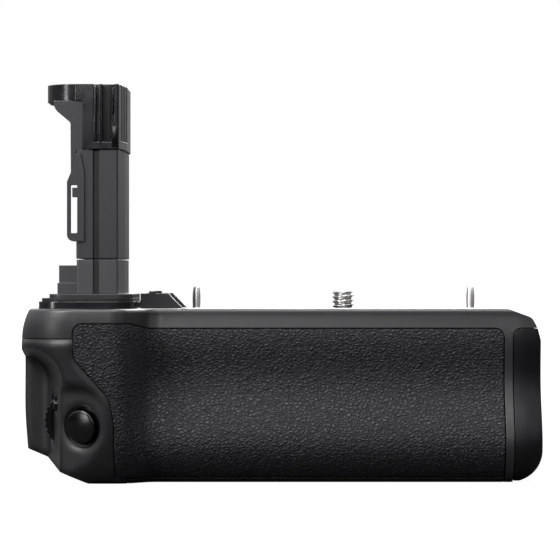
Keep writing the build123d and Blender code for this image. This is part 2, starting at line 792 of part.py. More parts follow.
def front_shell():
    """The front shell, which the grip panel covers."""
    region = block(-CORNER_EDGE, STRIP_LEFT - SEAM, -LEFT_REACH, MID_SEAM - SEAM,
                   -OVERRUN, UPPER_SEAM)
    return LOWER & region


def wheel_slot(x, y, z, radius, thickness, direction):
    """Room for a wheel with its running gap."""
    gap = WHEEL_GAP
    half = thickness / 2 + gap
    start = tuple(c - d * half for c, d in zip((x, y, z), direction))
    return rod(start, direction, radius + gap, 2 * half)


def control_corner():
    """The corner moulding with the shutter flat and the finger channel."""
    region = block(-LEFT_REACH - OVERRUN, -CORNER_EDGE - SEAM, -LEFT_REACH, MID_SEAM - SEAM,
                   -OVERRUN, UPPER_SEAM)
    corner = LOWER & region
    half = FRONT_WHEEL_THICKNESS / 2 + YOKE_GAP
    yokes = []
    for y in (-FRONT_WHEEL_Y - half - YOKE_THICKNESS, -FRONT_WHEEL_Y + half):
        yokes.append(block(-CHANNEL_WALL_FAR + WALL / 2, -FRONT_WHEEL_X + YOKE_HALF,
                           y, y + YOKE_THICKNESS,
                           FRONT_WHEEL_Z - YOKE_HALF, FRONT_WHEEL_Z + YOKE_HALF))
    yokes = [yoke & FORM_BED for yoke in yokes]
    for yoke in yokes:
        corner = corner + yoke
    corner = corner - wheel_slot(-FRONT_WHEEL_X, -FRONT_WHEEL_Y, FRONT_WHEEL_Z,
                                 FRONT_WHEEL_RADIUS, FRONT_WHEEL_THICKNESS, (0, 1, 0))
    corner = corner - rod((-FRONT_WHEEL_X, -FRONT_WHEEL_Y - half - OVERRUN, FRONT_WHEEL_Z),
                          (0, 1, 0), WHEEL_AXLE_RADIUS, 2 * (half + OVERRUN))
    plane = shutter_plane()
    posts = []
    for side in (-1, 1):
        place = plane * Pos(0, side * SHUTTER_BOARD_HALF, -SHUTTER_BOARD_DEPTH)
        posts.append(place * Cylinder(POST_RADIUS, SHUTTER_BOARD_DEPTH - WALL / 2,
                                      align=(Align.CENTER, Align.CENTER, Align.MIN)))
    for post in posts:
        corner = corner + post
    through = 2 * OVERRUN
    corner = corner - plane * Pos(0, 0, -OVERRUN) * Cylinder(
        SHUTTER_RADIUS + BUTTON_GAP, through, align=(Align.CENTER, Align.CENTER, Align.MIN))
    corner = corner - plane * Pos(0, 0, -SHUTTER_COLLAR_THICKNESS) * Cylinder(
        SHUTTER_RADIUS + SHUTTER_COLLAR_WIDTH, through, align=(Align.CENTER, Align.CENTER, Align.MIN))
    return corner - rod((-LEFT_REACH, -SMALL_BUTTON_Y, SMALL_BUTTON_Z), (1, 0, 0),
                        SMALL_BUTTON_RADIUS + BUTTON_GAP, LEFT_REACH - SHUTTER_X + OVERRUN / 2)


def rear_shell():
    """The back of the housing, with the seats of the thumb's controls."""
    region = block(-LEFT_REACH - OVERRUN, RIGHT_REACH + OVERRUN, MID_SEAM, LEFT_REACH,
                   -OVERRUN, UPPER_SEAM)
    shell = LOWER & region
    half = REAR_WHEEL_THICKNESS / 2 + YOKE_GAP
    for x in (-REAR_WHEEL_X - half - YOKE_THICKNESS, -REAR_WHEEL_X + half):
        shell = shell + block(x, x + YOKE_THICKNESS, REAR_WHEEL_Y - YOKE_HALF, THUMB_INNER + WALL / 2,
                              REAR_WHEEL_Z - YOKE_HALF, REAR_WHEEL_Z + YOKE_HALF)
    shell = shell - wheel_slot(-REAR_WHEEL_X, REAR_WHEEL_Y, REAR_WHEEL_Z,
                               REAR_WHEEL_RADIUS, REAR_WHEEL_THICKNESS, (1, 0, 0))
    shell = shell - rod((-REAR_WHEEL_X - half - OVERRUN, REAR_WHEEL_Y, REAR_WHEEL_Z),
                        (1, 0, 0), WHEEL_AXLE_RADIUS, 2 * (half + OVERRUN))
    for x, z in board_posts():
        shell = shell + rod((x, CONTROL_BOARD_Y, z), (0, 1, 0), POST_RADIUS,
                            THUMB_INNER - CONTROL_BOARD_Y + WALL / 2)
    for z in REAR_BUTTON_ZS:
        shell = shell - rod((-REAR_BUTTON_X, BACK_INNER, z), (0, 1, 0),
                            REAR_BUTTON_RADIUS + BUTTON_GAP, THUMB_REACH)
    shell = shell - rod((-STICK_X, THUMB_INNER - OVERRUN / 2, STICK_Z), (0, 1, 0),
                        STICK_HOLE_RADIUS, THUMB_REACH)
    shell = shell - rod((-LEVER_X, 0, LEVER_Z), (0, 1, 0), LEVER_SHAFT_RADIUS + SHAFT_CLEARANCE,
                        THUMB_REACH)
    shell = shell - dial_opening()
    for panel in (thumb_pad_layer(0), end_pad_layer(0)):
        shell = shell - panel
    return shell


def dial_opening():
    """The slot in the back for the attachment dial, with a scoop above and below it."""
    slot = rod((0, GEAR_CENTRES, DIAL_BOTTOM - DIAL_SLOT_GAP), (0, 0, 1),
               DIAL_RADIUS + DIAL_SLOT_GAP, DIAL_THICKNESS + 2 * DIAL_SLOT_GAP)
    return slot


def thumb_pad_layer(shrink):
    """The rubber pad left of the attachment dial."""
    return back_panel(-PAD_LEFT + shrink, -PAD_RIGHT - shrink, shrink)


def end_pad_layer(shrink):
    """The rubber pad right of the attachment dial."""
    return back_panel(END_PAD_LEFT + shrink, END_PAD_RIGHT - shrink, shrink)


def back_panel(x0, x1, shrink):
    """A flat rubber panel let into the back."""
    face = Pos((x0 + x1) / 2, (PAD_BOTTOM + PAD_TOP) / 2, 0) * RectangleRounded(
        x1 - x0, PAD_TOP - PAD_BOTTOM - 2 * shrink, PAD_CORNER)
    return front_prism(face, BACK_REACH - RUBBER_THICKNESS, BACK_REACH + (0 if shrink else OVERRUN))


def base_plate():
    """The flat base plate, with its screw holes and the tripod socket's seat."""
    plate = base_region(0, 0, BASE_THICKNESS)
    plate = plate - rod((0, 0, -OVERRUN), (0, 0, 1), SOCKET_OUTER, BASE_THICKNESS + 2 * OVERRUN)
    for x, y in screw_places():
        plate = plate - rod((x, y, -OVERRUN), (0, 0, 1), BASE_SCREW_SHANK, BASE_THICKNESS + 2 * OVERRUN)
        plate = plate - rod((x, y, -OVERRUN), (0, 0, 1), BASE_SCREW_RADIUS,
                            OVERRUN + BASE_SCREW_SINK + BASE_SCREW_HEAD)
    return plate


def base_screws():
    """The screws that hold the base plate."""
    screws = []
    for x, y in screw_places():
        head = rod((x, y, BASE_SCREW_SINK), (0, 0, 1), BASE_SCREW_RADIUS - SHAFT_CLEARANCE, BASE_SCREW_HEAD)
        shank = rod((x, y, BASE_SCREW_SINK), (0, 0, 1), BASE_SCREW_SHANK - SHAFT_CLEARANCE,
                    BASE_THICKNESS - BASE_SCREW_SINK)
        screws.append(head + shank)
    return Compound(screws)


def tripod_socket():
    """The blind threaded bush in the base, shown with a plain bore."""
    bush = rod((0, 0, 0), (0, 0, 1), SOCKET_OUTER - SHAFT_CLEARANCE, TUNNEL_FLOOR)
    return bush - rod((0, 0, 0), (0, 0, 1), SOCKET_RADIUS, TUNNEL_FLOOR - SOCKET_ROOF)


def front_grip():
    """The rubber panel moulded over the front."""
    return RUBBER_LAYER & rubber_region(RUBBER_GAP)


# Tunnel and magazine

def battery_tunnel():
    """The square tube that the magazine slides in, with the flange at its mouth."""
    front = TRAY_FRONT - TRAY_CLEARANCE
    back = TRAY_BACK + TRAY_CLEARANCE
    outer = block(TUNNEL_LEFT, FLANGE_FACE, front - TUNNEL_WALL, back + TUNNEL_WALL,
                  TUNNEL_BASE, TUNNEL_TOP)
    within = body_form(WALL + SEAM)
    flange = within & block(FLANGE_FACE - FLANGE_THICKNESS, FLANGE_FACE, -LEFT_REACH, CAP_BACK,
                            WALL + SEAM, CAP_TOP)
    inner = block(TUNNEL_LEFT + TUNNEL_WALL, FLANGE_FACE + OVERRUN, front, back,
                  TUNNEL_FLOOR, TUNNEL_TOP - TUNNEL_WALL)
    feet = []
    for x, y in screw_places():
        feet.append(rod((x, y, BASE_THICKNESS), (0, 0, 1), BASE_SCREW_RADIUS, TUNNEL_LIFT))
    tunnel = outer + flange - inner
    for foot in feet:
        tunnel = tunnel + foot
    return tunnel - rod((0, 0, 0), (0, 0, 1), SOCKET_OUTER, TUNNEL_FLOOR)


def blade_places():
    """Y of each spring contact."""
    first = -TRAY_MIDDLE_Y - BLADE_PITCH * (BLADE_COUNT - 1) / 2
    return [first + BLADE_PITCH * index for index in range(BLADE_COUNT)]


def tunnel_contacts():
    """The spring contact blades on the tunnel's inner end."""
    x = TUNNEL_LEFT + TUNNEL_WALL
    z = PACK_BOTTOM + BLADE_HEIGHT / 2
    return Compound([block(x, x + BLADE_THICKNESS, y - BLADE_WIDTH / 2, y + BLADE_WIDTH / 2,
                           z, z + BLADE_HEIGHT) for y in blade_places()])


def latch_walls():
    """X of the left face of each tray wall that carries a latch."""
    return TRAY_LEFT, PACK_RIGHT_2 + PACK_CLEARANCE


def magazine_tray():
    """The open tray for two packs end to end."""
    tray = block(TRAY_LEFT, CAP_FACE, TRAY_FRONT, TRAY_BACK, TRAY_BOTTOM, TRAY_TOP)
    for left, right in ((PACK_LEFT_1, CAP_FACE), (PACK_LEFT_2, PACK_RIGHT_2 + PACK_CLEARANCE)):
        x0 = left - PACK_CLEARANCE
        tray = tray - block(x0, right + (OVERRUN if right == CAP_FACE else 0),
                            TRAY_FRONT + TRAY_WALL, TRAY_BACK - TRAY_WALL,
                            PACK_BOTTOM, TRAY_TOP + OVERRUN)
        middle = left + PACK_LENGTH / 2
        half = PACK_LENGTH * TRAY_WINDOW_SHARE / 2
        tray = tray - block(middle - half, middle + half, TRAY_FRONT - OVERRUN, TRAY_BACK + OVERRUN,
                            TRAY_TOP - TRAY_WINDOW_DROP, TRAY_TOP + OVERRUN)
    for x in latch_walls():
        wide = PACK_DEPTH / 2
        tray = tray - block(x - OVERRUN, x + TRAY_END_WALL + OVERRUN, -TRAY_MIDDLE_Y - wide,
                            -TRAY_MIDDLE_Y + wide, PACK_TOP, TRAY_TOP + OVERRUN)
        tray = tray - rod((x + TRAY_END_WALL / 2, -TRAY_MIDDLE_Y, PACK_TOP - LATCH_PIN_DEPTH),
                          (0, 0, 1), LATCH_PIN_RADIUS + SHAFT_CLEARANCE, LATCH_PIN_DEPTH)
    return tray


def pack_latch(x):
    """A turning latch on a tray wall, which reaches over the end of a pack."""
    pivot = x + TRAY_END_WALL / 2
    radius = LATCH_WIDTH / 2
    arm = LATCH_LENGTH - LATCH_WIDTH
    bar = Pos(pivot + arm / 2, -TRAY_MIDDLE_Y, 0) * SlotCenterToCenter(arm, LATCH_WIDTH)
    bar = plan_prism(bar, PACK_TOP + LATCH_GAP, TRAY_TOP)
    depth = LATCH_PIN_DEPTH - LATCH_GAP
    grip = rod((pivot + arm, -TRAY_MIDDLE_Y, TRAY_TOP), (0, 0, 1), radius / 2, LATCH_GAP)
    return bar + grip + rod((pivot, -TRAY_MIDDLE_Y, PACK_TOP - depth), (0, 0, 1), LATCH_PIN_RADIUS,
                            depth + 2 * LATCH_GAP)


def battery_pack(left):
    """One camera battery pack lying flat, with a shallow step where its label would be."""
    pack = block(left, left + PACK_LENGTH, -TRAY_MIDDLE_Y - PACK_DEPTH / 2,
                 -TRAY_MIDDLE_Y + PACK_DEPTH / 2, PACK_BOTTOM, PACK_TOP)
    pack = fillet(pack.edges().filter_by(Axis.X), PACK_ROUND)
    margin = 2 * PACK_ROUND
    return pack - block(left + margin, left + PACK_LENGTH - margin,
                        -TRAY_MIDDLE_Y - PACK_DEPTH / 2 + margin,
                        -TRAY_MIDDLE_Y + PACK_DEPTH / 2 - margin,
                        PACK_TOP - PACK_LABEL_STEP, PACK_TOP + OVERRUN)


def magazine_cap():
    """The end cap of the magazine, with the round seat of the lock knob."""
    cap = FORM & cap_region(0)
    rim = cap.faces().sort_by(Axis.X)[-1].edges()
    cap = fillet(rim, CAP_ROUND)
    centre = (-KNOB_Y, KNOB_Z)
    cap = cap - rod((KNOB_BACK - KNOB_GAP, *centre), (1, 0, 0), KNOB_RADIUS + KNOB_GAP,
                    KNOB_DEPTH + 2 * OVERRUN)
    cap = cap - rod((CAP_FACE - OVERRUN, *centre), (1, 0, 0), KNOB_SHAFT_RADIUS + SHAFT_CLEARANCE,
                    RIGHT_REACH)
    cap = cap - rod((CAP_FACE - OVERRUN, *centre), (1, 0, 0), CAM_RADIUS + CAM_GAP,
                    OVERRUN + CAM_POCKET_DEPTH)
    return cap - cap_seal_ring(SEAL_DEPTH + FLANGE_CLEARANCE)


def cap_seal_ring(thickness):
    """A frame round the tray's outline on the cap's inner face."""
    x0 = FLANGE_FACE + SEAL_GAP
    margin = TRAY_CLEARANCE + SEAL_MARGIN

    def frame(grow):
        return block(x0, x0 + thickness, TRAY_FRONT - grow, TRAY_BACK + grow,
                     TRAY_BOTTOM - grow, TRAY_TOP + grow)

    return frame(margin + SEAL_WIDTH) - frame(margin)


def lock_knob():
    """The round knob that locks the magazine, with a seat for its folding tab."""
    centre = (-KNOB_Y, KNOB_Z)
    knob = rod((KNOB_BACK, *centre), (1, 0, 0), KNOB_RADIUS, KNOB_DEPTH)
    knob = knob + rod((CAP_FACE + CAM_GAP / 2, *centre), (1, 0, 0), KNOB_SHAFT_RADIUS,
                      KNOB_BACK - CAP_FACE)
    seat = rod((KNOB_FACE - TAB_POCKET_DEPTH, *centre), (1, 0, 0), TAB_RADIUS + TAB_GAP, KNOB_DEPTH)
    half = block(KNOB_BACK, RIGHT_REACH + OVERRUN, -KNOB_Y - TAB_BARREL_RADIUS - TAB_GAP,
                 -KNOB_Y + KNOB_RADIUS, KNOB_Z - KNOB_RADIUS, KNOB_Z + KNOB_RADIUS)
    knob = knob - (seat & half)
    lugs = rod((TAB_PIN_X, -KNOB_Y, KNOB_Z - KNOB_RADIUS), (0, 0, 1), TAB_BARREL_RADIUS, 2 * KNOB_RADIUS)
    lugs = lugs & rod((KNOB_BACK, *centre), (1, 0, 0), KNOB_RADIUS - TAB_GAP, KNOB_DEPTH)
    web = block(KNOB_FACE - TAB_POCKET_DEPTH - TAB_GAP, TAB_PIN_X, -KNOB_Y - TAB_BARREL_RADIUS,
                -KNOB_Y + TAB_BARREL_RADIUS, KNOB_Z - TAB_RADIUS, KNOB_Z + TAB_RADIUS)
    inner = TAB_RADIUS * TAB_BARREL_SHARE + TAB_GAP
    gap = block(KNOB_BACK, RIGHT_REACH + OVERRUN, -KNOB_Y - KNOB_RADIUS, -KNOB_Y + KNOB_RADIUS,
                KNOB_Z - inner, KNOB_Z + inner)
    knob = knob + ((lugs + web) - gap)
    nail = rod((KNOB_FACE - NAIL_DEPTH, -KNOB_Y + TAB_RADIUS, KNOB_Z), (1, 0, 0), NAIL_RADIUS, KNOB_DEPTH)
    knob = knob - (nail & rod((KNOB_BACK, *centre), (1, 0, 0), KNOB_RADIUS - TAB_GAP, KNOB_DEPTH))
    return knob - rod((TAB_PIN_X, -KNOB_Y, KNOB_Z - KNOB_RADIUS - OVERRUN), (0, 0, 1), TAB_PIN_RADIUS,
                      2 * (KNOB_RADIUS + OVERRUN))


TAB_PIN_X = KNOB_FACE - TAB_BARREL_RADIUS


def release_tab():
    """The half-round tab that folds out of the knob."""
    centre = (-KNOB_Y, KNOB_Z)
    low = KNOB_FACE - TAB_THICKNESS
    tab = rod((low, *centre), (1, 0, 0), TAB_RADIUS, TAB_THICKNESS)
    start = -KNOB_Y + TAB_BARREL_RADIUS + TAB_GAP
    half = block(low - OVERRUN, KNOB_FACE + OVERRUN, start, -KNOB_Y + TAB_RADIUS + OVERRUN,
                 KNOB_Z - TAB_RADIUS, KNOB_Z + TAB_RADIUS)
    tab = tab & half
    reach = TAB_RADIUS * TAB_BARREL_SHARE
    barrel = rod((TAB_PIN_X, -KNOB_Y, KNOB_Z - reach), (0, 0, 1), TAB_BARREL_RADIUS, 2 * reach)
    neck = block(low, KNOB_FACE, -KNOB_Y, start + TAB_GAP, KNOB_Z - reach, KNOB_Z + reach)
    tab = tab + barrel + neck
    return tab - rod((TAB_PIN_X, -KNOB_Y, KNOB_Z - TAB_RADIUS - OVERRUN), (0, 0, 1),
                     TAB_PIN_RADIUS + TAB_CLEARANCE, 2 * (TAB_RADIUS + OVERRUN))


def tab_pin():
    """The pin that the tab folds on."""
    reach = math.sqrt(KNOB_RADIUS ** 2 - TAB_BARREL_RADIUS ** 2) - TAB_GAP
    return rod((TAB_PIN_X, -KNOB_Y, KNOB_Z - reach), (0, 0, 1), TAB_PIN_RADIUS, 2 * reach)


def lock_cam():
    """The cam on the inner end of the knob's shaft."""
    x0 = CAP_FACE + CAM_GAP / 2
    centre = (-KNOB_Y, KNOB_Z)
    cam = rod((x0, *centre), (1, 0, 0), CAM_RADIUS, CAM_THICKNESS)
    cam = cam & block(x0, x0 + CAM_THICKNESS, -KNOB_Y - CAM_WIDTH / 2, -KNOB_Y + CAM_WIDTH / 2,
                      KNOB_Z - CAM_RADIUS, KNOB_Z + CAM_RADIUS)
    return cam - rod((x0 - OVERRUN, *centre), (1, 0, 0), KNOB_SHAFT_RADIUS, OVERRUN * 2 + CAM_THICKNESS)


# Mounting screw and its drive

def attachment_dial():
    """The ribbed dial at the back, with the gear on top of it."""
    at = Pos(0, GEAR_CENTRES, 0)
    dial = at * Pos(0, 0, DIAL_BOTTOM) * ribbed_disc(DIAL_RADIUS, DIAL_THICKNESS, DIAL_RIBS, DIAL_RIB_DEPTH)
    # the screw gear's tooth points along +Y, so this gear has a gap there
    half_pitch = 180.0 / DIAL_TEETH
    wheel = at * Pos(0, 0, GEAR_BOTTOM) * gear(DIAL_TEETH, -90.0 + half_pitch)
    hub = rod((0, GEAR_CENTRES, DIAL_TOP), (0, 0, 1), DIAL_BOSS_RADIUS, GEAR_BOTTOM - DIAL_TOP)
    bore = rod((0, GEAR_CENTRES, 0), (0, 0, 1), DIAL_AXLE_RADIUS + DIAL_BORE_CLEARANCE, BODY_HEIGHT)
    return dial + wheel + hub - bore


def bearing_plate():
    """The plate under the cover that guides the screw's shaft and the dial's axle."""
    half = BEARING_HALF_WIDTH
    plate = rounded_box(-half, half, -BEARING_MARGIN, GEAR_CENTRES + BEARING_MARGIN,
                        BEARING_TOP - BEARING_THICKNESS, BEARING_TOP, BEARING_MARGIN / 2)
    plate = plate - rod((0, 0, 0), (0, 0, 1), SCREW_SHAFT_RADIUS + SHAFT_CLEARANCE, BODY_HEIGHT)
    return plate - rod((0, GEAR_CENTRES, 0), (0, 0, 1), DIAL_AXLE_RADIUS, BODY_HEIGHT)


def dial_axle():
    """The axle of the attachment dial, from the tunnel's roof up into the cover."""
    return rod((0, GEAR_CENTRES, TUNNEL_TOP), (0, 0, 1), DIAL_AXLE_RADIUS, ROOF - TUNNEL_TOP)


def attachment_screw():
    """The screw that pulls the grip to the camera, shown without its thread."""
    flange_low = FLANGE_TOP - SCREW_FLANGE_THICKNESS
    screw = rod((0, 0, BODY_HEIGHT), (0, 0, 1), SCREW_RADIUS, SCREW_RISE)
    screw = chamfer(screw.edges().sort_by(Axis.Z)[-1], SCREW_POINT)
    screw = screw + rod((0, 0, flange_low), (0, 0, 1), SCREW_NECK_RADIUS, BODY_HEIGHT - flange_low)
    screw = screw + rod((0, 0, flange_low), (0, 0, 1), SCREW_FLANGE_RADIUS, SCREW_FLANGE_THICKNESS)
    return screw + rod((0, 0, GEAR_BOTTOM), (0, 0, 1), SCREW_SHAFT_RADIUS, flange_low - GEAR_BOTTOM)


def screw_gear():
    """The pinion pressed on the screw's shaft."""
    pinion = Pos(0, 0, GEAR_BOTTOM) * gear(SCREW_TEETH, 90.0)
    return pinion - rod((0, 0, 0), (0, 0, 1), SCREW_SHAFT_RADIUS, BODY_HEIGHT)


def thrust_washer():
    """The washer between the screw's flange and the cover."""
    ring = rod((0, 0, ROOF - WASHER_THICKNESS), (0, 0, 1), SCREW_FLANGE_RADIUS, WASHER_THICKNESS)
    return ring - rod((0, 0, 0), (0, 0, 1), SCREW_RADIUS + COLLAR_CLEARANCE, BODY_HEIGHT)


def screw_collar():
    """The metal ring round the screw in the top face."""
    ring = rod((0, 0, ROOF), (0, 0, 1), COLLAR_RADIUS - SHAFT_CLEARANCE, WALL)
    return ring - rod((0, 0, 0), (0, 0, 1), SCREW_RADIUS + COLLAR_CLEARANCE, BODY_HEIGHT + OVERRUN)


def guide_pins():
    """The two pins that line the grip up with the camera."""
    pins = []
    for x in (-PIN_LEFT_X, PIN_RIGHT_X):
        pin = rod((x, 0, BODY_HEIGHT), (0, 0, 1), PIN_RADIUS, PIN_SHANK)
        taper = PIN_RISE - PIN_SHANK
        tip = Pos(x, 0, BODY_HEIGHT + PIN_SHANK + taper / 2) * Cone(PIN_RADIUS, PIN_TIP_RADIUS, taper)
        tip = fillet(tip.edges().sort_by(Axis.Z)[-1], PIN_TIP_RADIUS * TIP_ROUND_SHARE)
        shoulder = rod((x, 0, ROOF), (0, 0, 1), PIN_SHOULDER_RADIUS - SHAFT_CLEARANCE, WALL)
        foot = rod((x, 0, ROOF - PIN_FOOT_HEIGHT), (0, 0, 1), PIN_FOOT_RADIUS, PIN_FOOT_HEIGHT)
        pins.append(pin + tip + shoulder + foot)
    return Compound(pins)


# Stem

def stem_outline(grow):
    """The stem's section in X and Y."""
    points = [
        (-STEM_LEFT - grow, -STEM_FRONT - grow),
        (-STEM_FACET_X + grow / 2, -STEM_FRONT - grow),
        (-STEM_RIGHT + grow, -STEM_FACET_Y),
        (-STEM_RIGHT + grow, -STEM_BACK_FACET),
        (-STEM_FACET_X, STEM_BACK + grow),
        (-STEM_LEFT - grow, STEM_BACK + grow),
    ]
    return rounded(points, [STEM_ROUND] * len(points))


def stem_groove(z0, z1):
    """The upright groove down the front of the stem."""
    return block(-STEM_GROOVE_LEFT, -STEM_GROOVE_RIGHT, -STEM_FRONT - OVERRUN,
                 -STEM_FRONT + STEM_GROOVE_DEPTH, z0, z1)


def stem_column():
    """The middle of the stem."""
    column = plan_prism(stem_outline(0), BOOT_TOP + STEM_SEAM, COLUMN_TOP)
    column = column - stem_groove(BOOT_TOP, COLUMN_TOP + OVERRUN)
    notch = block(-STEM_LEFT - OVERRUN, -NOTCH_LEFT, -STEM_FRONT - OVERRUN, STEM_BACK + OVERRUN,
                  CLIP_SLOT_BOTTOM - NOTCH_MARGIN, CLIP_SLOT_TOP + NOTCH_MARGIN)
    return column - notch - clip_outline() - stem_core()


def stem_boot():
    """The foot of the stem, with its key block at the left."""
    low = BODY_HEIGHT + PLINTH_HEIGHT + GASKET_HEIGHT + CROWN_HEIGHT
    boot = plan_prism(stem_outline(-STEM_WAIST), low, BOOT_TOP)
    boot = boot - stem_groove(low - OVERRUN, BOOT_TOP + OVERRUN)
    key = block(-KEY_LEFT, -STEM_LEFT + WALL, -KEY_FRONT, -KEY_BACK, low, KEY_TOP)
    step = block(-KEY_LEFT - KEY_STEP_OUT, -STEM_LEFT + WALL, -KEY_FRONT - KEY_STEP_OUT,
                 -KEY_BACK + KEY_STEP_OUT, low, KEY_STEP)
    return boot + key + step - stem_core()


def stem_core():
    """The inner post that joins boot, column and head."""
    margin = STEM_CORE_MARGIN
    low = BODY_HEIGHT + PLINTH_HEIGHT
    return block(-STEM_LEFT + margin, -STEM_FACET_X - margin / 2, -STEM_FRONT + 2 * margin,
                 -2 * margin, low, COLUMN_TOP + margin)


def hood_outline():
    """The hood's section in X and Y, round at its front left."""
    front = -STEM_FRONT - HEAD_OVERHANG
    points = [
        (-HEAD_LEFT + OVERRUN, front),
        (-HOOD_LEFT, front),
        (-HOOD_LEFT, -HOOD_BACK),
        (-HEAD_LEFT + OVERRUN, -HOOD_BACK),
    ]
    return rounded(points, [0, HOOD_RADIUS, PLINTH_HEIGHT, 0])


def stem_head():
    """The contact block at the top of the stem, with the hood to its left."""
    base = COLUMN_TOP + STEM_SEAM
    left = -HEAD_LEFT
    grown = plan_prism(stem_outline(HEAD_OVERHANG), base, HEAD_TOP)
    grown = grown - block(-HOOD_LEFT, left, -STEM_FRONT - OVERRUN, STEM_BACK + OVERRUN,
                          base - OVERRUN, HOOD_BOTTOM)
    head = grown + plan_prism(hood_outline(), HOOD_BOTTOM, HEAD_TOP)
    recess = block(-HEAD_RECESS_LEFT, -HEAD_RECESS_RIGHT, -STEM_FRONT - OVERRUN,
                   -STEM_FRONT - HEAD_OVERHANG + HEAD_RECESS_DEPTH,
                   base + HEAD_RECESS_FOOT, HEAD_TOP + OVERRUN)
    head = head - recess
    rib_x = -HEAD_RECESS_LEFT + (HEAD_RECESS_RIGHT - HEAD_RECESS_LEFT) * -0.3
    rib = block(rib_x, rib_x + HEAD_RIB_WIDTH, -STEM_FRONT - HEAD_OVERHANG,
                -STEM_FRONT + HEAD_RECESS_DEPTH, base + HEAD_RECESS_FOOT, HEAD_TOP)
    head = head + rib
    for y in slot_places():
        head = head - block(-STEM_RIGHT + HEAD_OVERHANG - HEAD_SLOT_DEPTH, -STEM_RIGHT + OVERRUN,
                            y - HEAD_SLOT_WIDTH / 2, y + HEAD_SLOT_WIDTH / 2,
                            HEAD_TOP - HEAD_SLOT_DROP, HEAD_TOP + OVERRUN)
    return head - stem_core()


def slot_places():
    """Y of each contact slot in the head."""
    return [-HEAD_SLOT_FIRST + HEAD_SLOT_PITCH * index for index in range(HEAD_SLOT_COUNT)]


def stem_contacts():
    """The contact strips at the bottom of the head's slots."""
    x0 = -STEM_RIGHT + HEAD_OVERHANG - HEAD_SLOT_DEPTH
    return Compound([block(x0, x0 + BLADE_THICKNESS, y - HEAD_SLOT_WIDTH / 2, y + HEAD_SLOT_WIDTH / 2,
                           HEAD_TOP - HEAD_SLOT_DROP, HEAD_TOP - BLADE_SINK) for y in slot_places()])


def stem_shelf():
    """The curved shelf under the hood, with the cheek that runs down beside the column."""
    points = [
        (-HEAD_LEFT, HOOD_BOTTOM),
        (-SHELF_LEFT, HOOD_BOTTOM),
        (-SHELF_LEFT, HOOD_BOTTOM - WALL),
        (-SHELF_BEND_X, SHELF_BOTTOM),
        (-CLIP_NECK_X, CLIP_CHEEK_BOTTOM),
        (-STEM_LEFT, CLIP_CHEEK_BOTTOM),
        (-STEM_LEFT, COLUMN_TOP),
        (-HEAD_LEFT, COLUMN_TOP),
    ]
    face = rounded(points, [0, 0, SHELF_BEND, WALL / 2, 0, 0, 0, 0])
    return front_prism(face, -STEM_FRONT, -STEM_FRONT + CLIP_CHEEK_DEPTH) - clip_outline()


def clip_face():
    """The clip plate's outline in X and Z."""
    points = [
        (-CLIP_RIGHT, CLIP_BOTTOM),
        (-CLIP_LEFT, CLIP_BOTTOM),
        (-CLIP_LEFT, CLIP_SHOULDER),
        (-CLIP_NECK_X, CLIP_NECK_Z),
        (-STEM_LEFT, CLIP_TOP),
        (-CLIP_RIGHT - WALL / 2, CLIP_TOP),
        (-CLIP_RIGHT, CLIP_NECK_Z),
    ]
    return rounded(points, [0, CLIP_CORNER, WALL / 2, WALL / 2, 0, 0, 0])


def clip_outline():
    """The room that the clip plate takes up in the stem."""
    return front_prism(clip_face(), -STEM_FRONT - OVERRUN, -STEM_FRONT - CLIP_PROUD + CLIP_THICKNESS)


def side_clip():
    """The clip plate on the stem's left edge, with its long slot and tooth."""
    face = clip_face()
    slot = rounded([
        (-CLIP_SLOT_RIGHT, CLIP_SLOT_BOTTOM),
        (-CLIP_SLOT_LEFT, CLIP_SLOT_BOTTOM),
        (-CLIP_SLOT_LEFT, CLIP_SLOT_TOP),
        (-CLIP_SLOT_RIGHT, CLIP_SLOT_TOP),
    ], [CLIP_SLOT_ROUND] * 4)
    middle = Pos(-CLIP_SLOT_RIGHT - CLIP_TOOTH_WIDTH / 2, (CLIP_TOOTH_TOP + CLIP_TOOTH_BOTTOM) / 2, 0)
    tooth = middle * Rectangle(CLIP_TOOTH_WIDTH, CLIP_TOOTH_TOP - CLIP_TOOTH_BOTTOM)
    face = face - slot + tooth
    front = -STEM_FRONT - CLIP_PROUD
    return front_prism(face, front, front + CLIP_THICKNESS)


def stem_plinth():
    """The step in the top face that the camera's battery door opening fits round."""
    base = rounded_box(-PLINTH_LEFT, -PLINTH_RIGHT, -PLINTH_FRONT, PLINTH_BACK,
                       BODY_HEIGHT, BODY_HEIGHT + PLINTH_HEIGHT, PLINTH_CORNER)
    return base - block(-STEM_LEFT + WIRE_HOLE_MARGIN, -STEM_RIGHT - WIRE_HOLE_MARGIN,
                        -STEM_FRONT + WIRE_HOLE_MARGIN, -WIRE_HOLE_MARGIN,
                        BODY_HEIGHT - OVERRUN, BODY_HEIGHT + PLINTH_HEIGHT - SEAL_STEP)


def plinth_seal():
    """The soft seal on the plinth."""
    z0 = BODY_HEIGHT + PLINTH_HEIGHT
    ring = rounded_box(-PLINTH_LEFT + SEAL_STEP, -PLINTH_RIGHT - SEAL_STEP, -PLINTH_FRONT + SEAL_STEP,
                       PLINTH_BACK - SEAL_STEP, z0, z0 + GASKET_HEIGHT, PLINTH_CORNER - SEAL_STEP)
    return ring - stem_core()


def plinth_crown():
    """The ledge that holds the seal down round the boot."""
    z0 = BODY_HEIGHT + PLINTH_HEIGHT + GASKET_HEIGHT
    inset = SEAL_STEP + CROWN_STEP
    ring = rounded_box(-PLINTH_LEFT + inset, -PLINTH_RIGHT - SEAL_STEP, -PLINTH_FRONT + inset,
                       PLINTH_BACK - inset, z0, z0 + CROWN_HEIGHT, PLINTH_CORNER - inset)
    return ring - stem_core()


